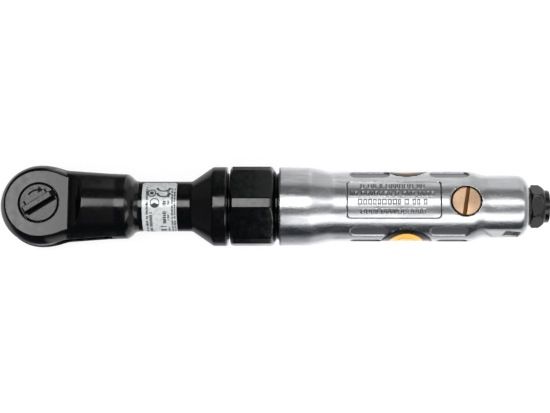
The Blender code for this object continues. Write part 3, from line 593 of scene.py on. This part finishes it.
def housing_field(x, y, w):
    r = np.hypot(y, w)
    housing = meet(HOUSING_OUTSIDE.field(x, r), HOUSING_START - x, 0.6)
    housing = meet(housing, x - HOUSING_END, 5.7)
    lug = meet(block(x - PIVOT_X, w + 11, 5.5, 8.4, 1.6), np.abs(y) - 4.2, 0.6)
    housing = blend(housing, lug, 1.5)

    angle = np.arctan2(np.abs(y), w)
    for row, middle, length in POCKET_ROWS:
        arc = (angle - math.radians(row)) * GRIP_R
        pocket = block(x - middle, arc, length / 2, 2.9, 2.85)
        housing = remove(housing, meet(pocket, GRIP_R - 0.8 - r, 0.5), 0.4)
    oval = (np.hypot((x - BADGE_X) / 11.9, w / 11.0) - 1) * 11
    housing = remove(housing, meet(oval, 15.7 - r, 0.3), 0.3)
    panel = block(x - (PANEL_START + PANEL_END) / 2, np.arctan2(y, w) * GRIP_R - PANEL_MIDDLE,
                  (PANEL_END - PANEL_START) / 2, PANEL_HALF, 1.6)
    housing = remove(housing, meet(panel, PANEL_FLOOR - r, 0.15), 0.25)

    housing = bored(housing, x - VALVE_X, y, w, ((1.5, -25, -5), (2.6, -9.5, 0), (5.6, -6.5, 10),
                                                 (7.25, 9, 25), (7.8, 15.6, 25)))
    housing = bored(housing, x - PIVOT_X, w - PIVOT_W, y, ((1.62, -8, 8),))
    along, across, out = exhaust_axes(x, y, w)
    facet = meet(EXHAUST_FACET - out, FACET_START - FACET_LEAN * across - x, 0.8)
    housing = remove(housing, facet, 0.35)
    slot = meet(block(along, across, 3.6, 2.8, 0.7), 9.4 - out, 0.3)
    housing = remove(housing, slot, 0.4)
    return bored(housing, y, w, x, ((14.25, 100, 170.3), (16.4, 100, 119.2), (7.9, 216.5, 245),
                                    (3.5, 204, 218)))


def make_housing():
    low_w = node_range("motor_housing", 2)[0]
    housing = surface("grip_casting", housing_field, (HOUSING_START, -HOUSING_R, low_w),
                      (HOUSING_END, HOUSING_R, HOUSING_R), 0.54)
    return dress(housing, "body", "cast_aluminium", "motor_housing")


def panel_bars():
    """Rows of blank raised blocks where a rating plate would be lettered."""
    draw = np.random.default_rng(7)
    bars = []
    for row, half in ((6.6, 15.5), (2.6, 20.3), (-1.4, 17.0), (-5.9, 15.5)):
        x = -half
        while x < half - 1.2:
            width = 1.1 + 1.0 * draw.random()
            bars.append((x + width / 2, row, width / 2, 1.25))
            x += width + (0.55 if draw.random() < 0.82 else 1.7)
    return bars


def make_panel():
    bars = panel_bars()
    gap, relief, slope_width = 0.4, 0.19, 0.3

    def top(u, s):
        radius = np.full(u.shape, PANEL_FACE)
        for x, row, half, tall in bars:
            outline = block(u - x, s - row, half, tall, 0.35)
            radius += relief * np.clip(0.9 - np.abs(outline + 0.22) / slope_width, 0, 1)
        return radius

    turn = math.pi / 2 - PANEL_MIDDLE / GRIP_R
    panel = bent_plate("rating_panel", PANEL_START + gap, PANEL_END - gap, turn, GRIP_R,
                       2 * (PANEL_HALF - gap), 1.4, PANEL_FLOOR + 0.03, top, 0.14)
    return dress(panel, "body", "rating_plate")


def make_badge(side, node):
    """Domed oval badge, following the grip's curve."""
    half_length, half_height, face_r, back_r = 11.6, 10.7, 16.5, 15.97
    outline = [(face_r, step / 12) for step in range(12)]
    outline += [(face_r, 0.95), (16.47, 0.975), (16.4, 0.99), (16.28, 1.0), (back_r, 1.0)]
    outline += [(back_r, step / 4) for step in (3, 2, 1, 0)]

    def on_grip(radius, a, b):
        w = half_height * b
        return BADGE_X + half_length * a, side * math.sqrt(radius ** 2 - w ** 2), w

    badge = turned_mesh(f"{node}_domed", outline, 96, on_grip, sharp_angle=50)
    return dress(badge, "body", "badge_face", node)


# ---------- regulator, lever, inlet
SLOT_DEPTH = 1.9         # screwdriver slot of the regulator


def make_regulator():
    low, high = node_range("regulator", 2)
    head_r, stem_r, groove_r, bore_r, slot_half, slot_turn = 6.7, 5.3, 5.7, 4.2, 0.85, -9

    def field(x, y, w):
        r = np.hypot(x - VALVE_X, y)
        crown = (w - high + 0.035 * r) * 0.99
        screw = meet(np.maximum(r - head_r, 9.4 - w), crown, 0.45)
        screw = np.minimum(screw, meet(r - stem_r, slab(w, low, 11), 0.2))
        screw = remove(screw, np.maximum(groove_r - r, slab(w, 11.2, 12.8)), 0.1)
        screw = remove(screw, np.maximum(r - bore_r, w - 8.6), 0.2)
        across = rotated(x - VALVE_X, y, slot_turn)[0]
        screw = remove(screw, np.maximum(np.abs(across) - slot_half, high - SLOT_DEPTH - w), 0.14)
        window = np.maximum(np.maximum(np.abs(y) - 3.0, VALVE_X - x), w - 3.6)
        return remove(screw, window, 0.2)

    screw = surface("regulator_screw", field, (VALVE_X - head_r, -head_r, low),
                    (VALVE_X + head_r, head_r, high), 0.17)
    return dress(screw, "regulator", "turned_brass", "regulator")


def polygon(a, b, points):
    """Distance field of a flat outline."""
    distance = np.full(a.shape, 1e9)
    inside = np.zeros(a.shape, bool)
    for (a0, b0), (a1, b1) in zip(points, points[1:] + points[:1]):
        da, db = a1 - a0, b1 - b0
        t = np.clip(((a - a0) * da + (b - b0) * db) / (da * da + db * db), 0, 1)
        distance = np.minimum(distance, np.hypot(a - a0 - t * da, b - b0 - t * db))
        if db != 0:
            crosses = (b0 > b) != (b1 > b)
            inside ^= crosses & (a < a0 + (b - b0) * da / db)
    return np.where(inside, -distance, distance)


def make_lever():
    """Pressed sheet channel with rounded bends, its tip dressed round."""
    tip_x, sheet, half, low_front, low_rear = 150.0, 1.5, 6.4, -18.7, -21.4
    inset = 0.4
    outer = [(tip_x + inset, -17.5), (tip_x + 2.2, -17.0), (206, -16.35 - inset),
             (211, -15.2 - inset), (216, -14.5 - inset), (226.4 - inset, -14.5 - inset),
             (226.4 - inset, low_rear + inset), (213.6, low_rear + inset),
             (210.1, low_front + inset), (tip_x + 1.2, low_front + inset),
             (tip_x + inset, low_front + 0.9)]
    inner = [(140, -10), (240, -10), (240, low_rear + sheet), (214.1, low_rear + sheet),
             (210.6, low_front + sheet), (140, low_front + sheet)]

    def field(x, y, w):
        along, up = rotated(x - PIVOT_X, w - PIVOT_W, LEVER_TRAVEL)
        along, up = along + PIVOT_X, up + PIVOT_W
        nose = np.hypot(np.minimum(along - tip_x - half, 0), y) - half
        channel = meet(polygon(along, up, outer) - inset, np.abs(y) - half, 1.0)
        channel = meet(channel, nose, 0.3)
        hollow = meet(polygon(along, up, inner), np.abs(y) - half + sheet, 0.6)
        channel = remove(channel, hollow, 0.3)
        return remove(channel, rod(along - PIVOT_X, up - PIVOT_W, y, 1.65, -10, 10), 0.2)

    lever = surface("lever_pressing", field, *node_box("throttle_lever"), 0.3)
    return dress(lever, "lever", "lever_steel", "throttle_lever")


def make_lever_pin():
    half = node_range("lever_pin", 1)[1]
    outline = [(-half, 0), (-half, 1.0), (-half + 0.2, 1.3), (-half + 0.5, 1.4),
               (half - 0.5, 1.4), (half - 0.2, 1.3), (half, 1.0), (half, 0)]
    pin = turned_mesh("roll_pin", outline, 40, lambda y, a, b: (PIVOT_X + b, y, PIVOT_W + a))
    return dress(pin, "body", "bearing_steel", "lever_pin")


def make_inlet():
    flats, clock, hex_start, hex_end = 17.85, 97.5, 231.7, 238.3
    corner_r, face_r, crown_r, rings = flats / math.sqrt(3) + 0.02, 8.7, 8.3, 6
    outline = [(217.2, 4.0)] + thread(217.2, 230.2, 7.65) + [(230.4, 7.2), (hex_start, 7.2)]
    outline += [(hex_start, face_r - 0.3)]
    outline += [(hex_start + 1.0 * i / rings, face_r + (corner_r - face_r) * i / rings)
                for i in range(rings + 1)]
    outline += [(hex_end - 2.5 * i / rings, crown_r + (corner_r - crown_r) * (i / rings) ** 0.8)
                for i in range(rings, -1, -1)]
    outline += [(hex_end, 7.75), (INLET_END - 0.5, 7.75), (INLET_END - 0.15, 7.6), (INLET_END, 7.3)]
    outline += [(INLET_END, 6.5), (INLET_END - 0.5, 6.05)]
    outline += thread(INLET_END - 0.7, 229.0, 5.95, 1.34, -0.25)
    outline += [(228.6, 5.95), (226, 5.95), (226, 4.0)]
    inlet = turned_mesh("inlet_fitting", outline, 240, limit=flats_limit(flats, clock))
    return dress(inlet, "body", "bushing_black", "inlet_bushing")


def make_exhaust_screen():
    """Sintered plate behind the exhaust slot."""
    pitch, hole_r = 1.6, 0.48

    def field(x, y, w):
        along, across, out = exhaust_axes(x, y, w)
        plate = meet(block(along, across, 4.1, 3.3, 0.7), slab(out, 11.2, 11.8), 0.15)
        column = (along + 0.75 * pitch) % pitch - pitch / 2
        row = (across + pitch / 2) % pitch - pitch / 2
        holes = np.hypot(column, row) - hole_r
        inner = block(along, across, 3.4, 2.6, 0.3)
        return remove(plate, np.maximum(holes, inner), 0.08)

    screen = surface("exhaust_plate", field, *node_box("exhaust_screen"), 0.15)
    return dress(screen, "body", "sintered_bronze", "exhaust_screen")


# ---------- materials
class Nodes:
    """Short ways to add nodes to a node tree."""

    def __init__(self, tree):
        self.tree = tree

    def node(self, kind, inputs=(), **settings):
        node = self.tree.nodes.new(kind)
        for key, value in settings.items():
            setattr(node, key, value)
        for socket, value in dict(inputs).items():
            if isinstance(value, bpy.types.NodeSocket):
                self.tree.links.new(value, node.inputs[socket])
            else:
                node.inputs[socket].default_value = value
        return node

    def maths(self, operation, *values, **settings):
        node = self.node("ShaderNodeMath", enumerate(values), operation=operation, **settings)
        return node.outputs[0]

    def vector_maths(self, operation, *values):
        node = self.node("ShaderNodeVectorMath", enumerate(values), operation=operation)
        return node.outputs["Value" if operation in ("DOT_PRODUCT", "LENGTH") else "Vector"]


class Shader(Nodes):
    """A material; lengths on its nodes are metres."""

    def __init__(self, name, colour, roughness, metallic=0.0):
        self.name = name
        self.material = bpy.data.materials.new(name)
        self.material.use_nodes = True
        super().__init__(self.material.node_tree)
        self.shader = self.tree.nodes["Principled BSDF"]
        self.place = self.node("ShaderNodeTexCoord").outputs["Object"]
        self.base = (*colour, 1.0)
        self.set("Base Color", self.base)
        self.set("Roughness", roughness)
        self.set("Metallic", metallic)
        self.bumps = None

    def set(self, socket, value):
        self.shader.inputs[socket].default_value = value

    def noise(self, size, detail=3.0, stretch=(1, 1, 1), rough=0.5):
        """Noise of about that feature size in mm, stretched along the axes."""
        scale = [1 / (size * MM * amount) for amount in stretch]
        place = self.node("ShaderNodeMapping", {"Vector": self.place, "Scale": scale})
        return self.node("ShaderNodeTexNoise", {"Vector": place.outputs[0], "Scale": 1.0,
                                                "Detail": detail, "Roughness": rough}).outputs["Fac"]

    def spread(self, value, low, high, start=0.35, end=0.65):
        """value from start..end mapped to low..high."""
        return self.node("ShaderNodeMapRange", {"Value": value, "From Min": start, "From Max": end,
                                                "To Min": low, "To Max": high}).outputs[0]

    def roughness(self, value, low, high, start=0.35, end=0.65):
        self.tree.links.new(self.spread(value, low, high, start, end), self.shader.inputs["Roughness"])

    def rougher(self, mask, value):
        """Another roughness where the mask is 1."""
        current = self.shader.inputs["Roughness"]
        mix = self.node("ShaderNodeMix", {0: mask, 2: current.links[0].from_socket, 3: value})
        self.tree.links.new(mix.outputs[0], current)

    def coordinate(self, axis):
        split = self.node("ShaderNodeSeparateXYZ", {0: self.place})
        return split.outputs["XYZ".index(axis)]

    def from_line(self, axis, centre):
        """Distance in metres from the line along an axis through a point given in metres."""
        away = self.vector_maths("SUBTRACT", self.place, centre)
        keep = [0.0 if name == axis else 1.0 for name in "XYZ"]
        return self.vector_maths("LENGTH", self.vector_maths("MULTIPLY", away, keep))

    def tint(self, value, other, start=0.4, end=0.7):
        """Blend towards another colour where value is high."""
        mix = self.node("ShaderNodeMix", {0: self.spread(value, 0.0, 1.0, start, end)}, data_type="RGBA")
        current = self.shader.inputs["Base Color"]
        if current.is_linked:
            self.tree.links.new(current.links[0].from_socket, mix.inputs[6])
        else:
            mix.inputs[6].default_value = self.base
        mix.inputs[7].default_value = (*other, 1.0)
        self.tree.links.new(mix.outputs[2], current)

    def bump(self, value, depth, strength=1.0):
        """Relief of that depth in mm, on top of any already there."""
        bump = self.node("ShaderNodeBump", {"Height": value, "Strength": strength, "Distance": depth * MM})
        if self.bumps is not None:
            self.tree.links.new(self.bumps, bump.inputs["Normal"])
        self.bumps = bump.outputs[0]
        self.tree.links.new(self.bumps, self.shader.inputs["Normal"])


def black_enamel():
    """Glossy paint, and none in the bores round the drive's axis."""
    paint = Shader("black_enamel", (0.0012, 0.0012, 0.0015), 0.13)
    paint.roughness(paint.noise(3.0, 5), 0.1, 0.18)
    bore = paint.spread(paint.from_line("Z", (0, 0, 0)), 1.0, 0.0, (KNOB_BORE_R + 0.32) * MM,
                        (KNOB_BORE_R + 0.42) * MM)
    paint.rougher(bore, 0.8)
    paint.bump(paint.noise(1.3, 2), 0.006, 0.5)
    paint.bump(paint.noise(9.0, 2), 0.02, 0.4)
    paint.tint(paint.noise(0.28, 1, rough=0.7), (0.05, 0.05, 0.05), 0.71, 0.77)
    return paint


def satin_black():
    """Knob finish, matt below the disc's face, so in the engraving too."""
    finish = Shader("satin_black", (0.0015, 0.0015, 0.002), 0.2)
    finish.roughness(finish.noise(1.2, 4), 0.14, 0.26)
    face = AXIS_Z + HEAD_FLAT * MM
    finish.rougher(finish.spread(finish.coordinate("Z"), 1.0, 0.0, face - 0.22 * MM, face - 0.1 * MM), 0.85)
    finish.rougher(finish.spread(finish.from_line("Z", (0, 0, 0)), 0.0, 1.0,
                                 (KNOB_R - 0.32) * MM, (KNOB_R - 0.24) * MM), 0.8)
    finish.bump(finish.noise(0.6, 3), 0.004, 0.5)
    finish.tint(finish.noise(0.3, 1, rough=0.7), (0.05, 0.05, 0.05), 0.7, 0.76)
    return finish


def cast_aluminium(name="cast_aluminium", raised_marks=False):
    """Brushed along the grip; its recesses are rougher as cast and tinted darker as painted shade, and marks
    raised from the plate are as cast.
    """
    metal = Shader(name, (0.57, 0.58, 0.59), 0.2, metallic=1.0)
    metal.roughness(metal.noise(2.2, 6, stretch=(5, 1, 1)), 0.2, 0.31)
    metal.tint(metal.noise(5.0, 5, stretch=(4, 1, 1)), (0.47, 0.48, 0.5), 0.42, 0.75)
    depth = metal.spread(metal.from_line("X", (0, 0, AXIS_Z)), 1.0, 0.0, (GRIP_R - 0.62) * MM,
                         (GRIP_R - 0.4) * MM)
    along = metal.spread(metal.coordinate("X"), 1.0, 0.0, (GRIP_REAR - 1.4) * MM, (GRIP_REAR - 1.0) * MM)
    # painted shade: the metal below the grip's surface is tinted darker; the rougher finish there is the as-cast
    # surface
    recess_shade_and_finish = metal.maths("MULTIPLY", depth, along)
    metal.tint(recess_shade_and_finish, (0.3, 0.31, 0.32), 0.0, 1.0)
    metal.rougher(recess_shade_and_finish, 0.42)
    if raised_marks:
        raised = metal.from_line("X", (0, 0, AXIS_Z))
        metal.tint(raised, (0.26, 0.27, 0.27), (PANEL_FACE + 0.02) * MM, (PANEL_FACE + 0.08) * MM)
    metal.bump(metal.noise(0.16, 3, stretch=(22, 1, 1)), 0.004, 0.5)
    metal.bump(metal.noise(6.0, 3, stretch=(2.2, 1, 1)), 0.05, 0.5)
    metal.bump(metal.noise(0.7, 4), 0.008, 0.5)
    metal.tint(metal.noise(0.35, 2, rough=0.7), (0.3, 0.31, 0.33), 0.69, 0.78)
    return metal


def turned_brass():
    """Faced on a lathe, its slot floor darkened with painted shade."""
    metal = Shader("turned_brass", (0.62, 0.415, 0.27), 0.42, metallic=1.0)
    metal.set("Anisotropic", 0.9)
    metal.set("Anisotropic Rotation", 0.0)
    tangent = metal.node("ShaderNodeTangent", direction_type="RADIAL", axis="Z")
    metal.tree.links.new(tangent.outputs[0], metal.shader.inputs["Tangent"])
    rings_per_metre = 28000.0 / (2 * math.pi)
    turn = metal.maths("MULTIPLY", metal.from_line("Z", (VALVE_X * MM, 0, 0)),
                       2 * math.pi * rings_per_metre)
    metal.bump(metal.maths("SINE", turn), 0.0022, 0.5)
    metal.bump(metal.noise(0.9, 3), 0.012, 0.4)
    metal.roughness(metal.noise(1.1, 4), 0.38, 0.46)
    metal.tint(metal.noise(1.6, 4), (0.5, 0.31, 0.18), 0.52, 0.8)
    face = AXIS_Z + node_range("regulator", 2)[1] * MM
    # painted shade: darker towards the slot's floor, by depth below the face
    metal.tint(metal.coordinate("Z"), (0.12, 0.055, 0.015), face - 0.5 * MM, face - 0.9 * MM)
    return metal


def label_ink_black():
    ink = Shader("label_ink", (0.018, 0.018, 0.02), 0.45)
    ink.tint(ink.noise(0.25, 2), (0.12, 0.12, 0.13), 0.5, 0.75)
    return ink


def badge_face():
    """Black film with a plain orange spot and ring, measured from the badge's centre."""
    film = Shader("badge_face", (0.006, 0.006, 0.007), 0.16)
    radius = film.from_line("Y", (BADGE_X * MM, 0, AXIS_Z))
    from_ring = film.maths("ABSOLUTE", film.maths("SUBTRACT", radius, 6.2 * MM))
    from_spot = film.maths("SUBTRACT", radius, 2.4 * MM)
    film.tint(film.maths("MINIMUM", from_ring, from_spot), (1.0, 0.48, 0.03), 1.75 * MM, 1.65 * MM)
    film.roughness(film.noise(1.5, 3), 0.12, 0.24)
    return film


def grained(name, colour, rough, relief, sheen, flecks, metallic=0.0):
    """Finish of three noises, each given by its settings and then those of its effect."""
    look = Shader(name, colour, rough, metallic)
    for effect, (noise, *amounts) in ((look.bump, relief), (look.roughness, sheen), (look.tint, flecks)):
        effect(look.noise(*noise), *amounts)
    return look


def ground_steel(name, colour, rough, line, depth, stretch=(1, 1, 1)):
    darker = tuple(0.72 * channel for channel in colour)
    return grained(name, colour, rough, ((line, 3, stretch), depth, 0.5),
                   ((1.8, 5), rough * 0.75, rough * 1.45), ((2.4, 5), darker, 0.5, 0.8), 1.0)


def moulded(name, colour, rough, grain, depth):
    lighter = tuple(min(1, 1.7 * channel) for channel in colour)
    return grained(name, colour, rough, ((grain, 4), depth, 0.7),
                   ((grain * 4, 3), rough * 0.8, min(1.0, rough * 1.3)),
                   ((grain * 2.5, 4), lighter, 0.5, 0.85))


LOOKS = (
    black_enamel(), satin_black(), cast_aluminium(), cast_aluminium("rating_plate", True),
    turned_brass(), label_ink_black(), badge_face(),
    grained("milled_black", (0.001, 0.0012, 0.0013), 0.1, ((0.2, 2, (1, 14, 14)), 0.004, 0.4),
            ((2.5, 4), 0.08, 0.15), ((0.4, 2, (1, 1, 1), 0.7), (0.03, 0.03, 0.03), 0.74, 0.84)),
    grained("bushing_black", (0.002, 0.002, 0.0025), 0.2, ((0.6, 4), 0.02, 0.6),
            ((1.5, 4), 0.14, 0.3), ((0.9, 4), (0.03, 0.03, 0.028), 0.6, 0.8)),
    grained("label_film", (0.7, 0.725, 0.73), 0.25, ((3.5, 2), 0.02, 0.4),
            ((2.5, 3), 0.22, 0.34), ((0.6, 3), (0.63, 0.66, 0.665), 0.55, 0.8), 0.15),
    grained("sintered_bronze", (0.5, 0.48, 0.41), 0.5, ((0.35, 3), 0.08, 0.9),
            ((0.6, 2), 0.4, 0.65), ((0.5, 3), (0.25, 0.24, 0.2), 0.5, 0.7), 0.8),
    ground_steel("drive_steel", (0.5, 0.5, 0.51), 0.24, 0.3, 0.012, (1, 1, 8)),
    ground_steel("yoke_steel", (0.3, 0.3, 0.31), 0.3, 0.4, 0.02),
    ground_steel("lever_steel", (0.62, 0.62, 0.635), 0.16, 0.25, 0.006, (12, 1, 1)),
    ground_steel("gear_steel", (0.42, 0.42, 0.43), 0.28, 0.2, 0.01, (1, 6, 6)),
    ground_steel("bearing_steel", (0.66, 0.66, 0.68), 0.12, 0.2, 0.002),
    ground_steel("spring_steel", (0.36, 0.36, 0.38), 0.24, 0.3, 0.006),
    moulded("vane_fibre", (0.16, 0.075, 0.03), 0.55, 0.4, 0.03),
    moulded("nitrile_rubber", (0.016, 0.016, 0.017), 0.5, 0.3, 0.01),
    moulded("gasket_fibre", (0.13, 0.15, 0.11), 0.75, 0.25, 0.03),
)
MATERIALS = {look.name: look.material for look in LOOKS}

# finishes in each of the record's material slots; a kept CAD node gets its slot's first
FINISHES = {
    "black_enamel": ["black_enamel"],
    "black_steel": ["milled_black", "satin_black", "bushing_black"],
    "cast_aluminium": ["cast_aluminium", "rating_plate"],
    "steel": ["gear_steel", "drive_steel", "yoke_steel", "lever_steel"],
    "bearing_steel": ["bearing_steel"], "spring_steel": ["spring_steel"],
    "brass": ["turned_brass"], "bronze": ["sintered_bronze"],
    "vane_fibre": ["vane_fibre"], "rubber": ["nitrile_rubber"], "gasket_fibre": ["gasket_fibre"],
    "label_white": ["label_film"], "badge_black": ["badge_face"],
}


def dress(piece, body, finish, *nodes):
    """Give a piece its material and body, and let it stand for CAD nodes."""
    piece.data.materials.clear()
    piece.data.materials.append(MATERIALS[finish])
    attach(piece, body)
    if nodes:
        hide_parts(*nodes)
    return piece


def dress_cad_nodes():
    node_slots = {part["node"]: part["material_slot"] for part in frame["record"]["subparts"]}
    for name, node in frame["nodes"].items():
        for slot in node.material_slots:
            slot.material = MATERIALS[FINISHES[node_slots[name]][0]]


# ---------- studio
CAMERA_ELEVATION = math.radians(80)
CAMERA_DISTANCE = 0.6976
CAMERA_X = 0.125
TO_CAMERA = Vector((0, -math.cos(CAMERA_ELEVATION), math.sin(CAMERA_ELEVATION)))
PICTURE_UP = Vector((0, math.sin(CAMERA_ELEVATION), math.cos(CAMERA_ELEVATION)))


def make_camera():
    data = bpy.data.cameras.new("camera")
    data.sensor_width = 36
    data.lens = 95.9
    data.shift_x = -0.0545
    data.clip_start = 0.01
    camera = add_object("camera", data)
    camera.location = Vector((CAMERA_X, 0, AXIS_Z)) + TO_CAMERA * CAMERA_DISTANCE
    camera.rotation_euler = (math.pi / 2 - CAMERA_ELEVATION, 0, 0)
    bpy.context.scene.camera = camera


# the room's own brightness at angles round the tool's axis, from the camera towards +Y
ROOM = ((-180, (0.62, 0.6, 0.64)), (-140, (0.6, 0.58, 0.62)), (-126, (0.04, 0.045, 0.055)),
        (-50, (0.04, 0.045, 0.055)), (50, (0.05, 0.05, 0.05)), (60, (0.08, 0.09, 0.09)),
        (124, (0.1, 0.1, 0.1)), (138, (0.6, 0.58, 0.62)), (180, (0.62, 0.6, 0.64)))
# light panels: angles round the axis, reach along it as the direction's x, soft borders of
# both, and brightness
PANELS = (
    ((-1.5, 28), (-0.26, -0.166), (2.5, 0.02), 6.4),
    ((-1.5, 28), (-0.166, -0.13), (2.5, 0.02), 1.6),
    ((-1.5, 28), (-0.13, -0.08), (2.5, 0.02), 6.4),
    ((1, 26.5), (-0.08, -0.012), (2.5, 0.02), 6.4),
    ((7, 25), (-0.012, 0.85), (8, 0.02), 2.0),
    ((-60, 56), (0.0, 0.7), (14, 0.04), 0.26),
    ((66, 180), (-0.02, 0.7), (14, 0.03), 0.7),
    ((66, 130), (-0.02, 0.1), (12, 0.03), 0.5),
    ((-180, -103), (-0.02, 0.7), (16, 0.03), 0.8),
    ((-180, 180), (0.72, 1.5), (5, 0.08), 0.4),
    ((-180, 180), (-1.5, -0.72), (5, 0.08), 0.08),
)


def make_light(name, angle, x, distance, size_x, size_across, brightness):
    """Soft light that faces the tool's axis, at an angle round it from the camera's direction."""
    data = bpy.data.lights.new(name, "AREA")
    data.shape = "RECTANGLE"
    data.size = size_x
    data.size_y = size_across
    data.energy = brightness * math.pi * size_x * size_across
    light = add_object(name, data)
    turn = math.radians(angle)
    towards = TO_CAMERA * math.cos(turn) + PICTURE_UP * math.sin(turn)
    light.location = Vector((x, 0, AXIS_Z)) + towards * distance
    light.rotation_euler = (math.pi / 2 - CAMERA_ELEVATION - turn, 0, 0)
    return light


def make_room():
    """A plain dim studio with soft light panels round the tool."""
    world = bpy.data.worlds.new("studio")
    world.use_nodes = True
    room = Nodes(world.node_tree)
    direction = room.node("ShaderNodeTexCoord").outputs["Generated"]
    along = room.node("ShaderNodeSeparateXYZ", {0: direction}).outputs[0]
    angle = room.maths("ARCTAN2", room.vector_maths("DOT_PRODUCT", direction, PICTURE_UP),
                       room.vector_maths("DOT_PRODUCT", direction, TO_CAMERA))

    def window(value, low, high, border):
        """1 between low and high, 0 outside, with a soft border."""
        away = room.maths("ABSOLUTE", room.maths("SUBTRACT", value, (low + high) / 2))
        return room.maths("MULTIPLY_ADD", away, -1 / border, (high - low) / 2 / border + 0.5,
                          use_clamp=True)

    turn = room.maths("MULTIPLY_ADD", angle, 1 / (2 * math.pi), 0.5)
    ramp = room.node("ShaderNodeValToRGB", {0: turn})
    stops = ramp.color_ramp.elements
    while len(stops) < len(ROOM):
        stops.new(0.5)
    for stop, (degrees, colour) in zip(stops, ROOM):
        stop.position = (degrees + 180) / 360
        stop.color = (*colour, 1.0)

    glow = 0.0
    for angles, reach, (angle_border, reach_border), brightness in PANELS:
        lit = window(along, *reach, reach_border)
        if angles != (-180, 180):
            low, high, border = map(math.radians, (*angles, angle_border))
            lit = room.maths("MULTIPLY", lit, window(angle, low, high, border))
        glow = room.maths("MULTIPLY_ADD", lit, brightness, glow)
    white = room.node("ShaderNodeCombineXYZ", {0: glow, 1: glow, 2: glow}).outputs[0]
    total = room.vector_maths("ADD", ramp.outputs[0], white)
    room.tree.links.new(total, room.tree.nodes["Background"].inputs["Color"])
    bpy.context.scene.world = world


def white_paper():
    paper = Shader("white_paper", (0.3, 0.3, 0.3), 0.9)
    paper.set("Specular IOR Level", 0.0)
    paper.set("Emission Color", (1.0, 1.0, 1.0, 1.0))
    paper.set("Emission Strength", 0.8)
    paper.bump(paper.noise(1.5, 3), 0.01, 0.2)
    return paper


def stage_piece(name, vertices, faces, paper):
    """Part of the studio; the tool's reflections look past it at the room."""
    mesh = bpy.data.meshes.new(name)
    mesh.from_pydata(vertices, [], faces)
    mesh.materials.append(paper)
    piece = add_object(name, mesh)
    piece.visible_glossy = False
    return piece


def make_stage():
    """Paper floor, and a round paper wall that neither lights nor shades the tool."""
    paper = white_paper().material
    reach, wall_r, wall_top, segments = 3.0, 2.8, 3.0, 96
    floor_z = min(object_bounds()[0][2], 0.0) - 0.0002
    corners = [(-reach, -reach), (reach, -reach), (reach, reach), (-reach, reach)]
    stage_piece("studio_floor", [(x, y, floor_z) for x, y in corners], [(0, 1, 2, 3)], paper)
    vertices, faces = [], []
    for index in range(segments):
        turn = 2 * math.pi * index / segments
        x, y = wall_r * math.cos(turn), wall_r * math.sin(turn)
        vertices += [(x, y, floor_z), (x, y, wall_top)]
        low, after = 2 * index, 2 * ((index + 1) % segments)
        faces.append((low, low + 1, after + 1, after))
    wall = stage_piece("studio_wall", vertices, faces, paper)
    wall.visible_diffuse = False
    wall.visible_shadow = False


# ---------- assembly
dress_cad_nodes()
make_head()
make_knob()
make_anvil()
make_yoke()
make_retaining_ring()
make_detent_ball()
make_coupling()
make_label()
make_housing()
make_panel()
make_badge(1, "badge_left")
make_badge(-1, "badge_right")
make_regulator()
make_lever()
make_lever_pin()
make_inlet()
make_exhaust_screen()

make_camera()
make_room()
make_light("strip_light", angle=-39, x=0.326, distance=0.25, size_x=0.43, size_across=0.13, brightness=2.0)
overhead = make_light("overhead_fill", angle=-20, x=0.11, distance=1.2, size_x=1.4,
                      size_across=1.4, brightness=1.3)
overhead.visible_glossy = False
make_stage()
bpy.context.scene.view_settings.view_transform = "Standard"
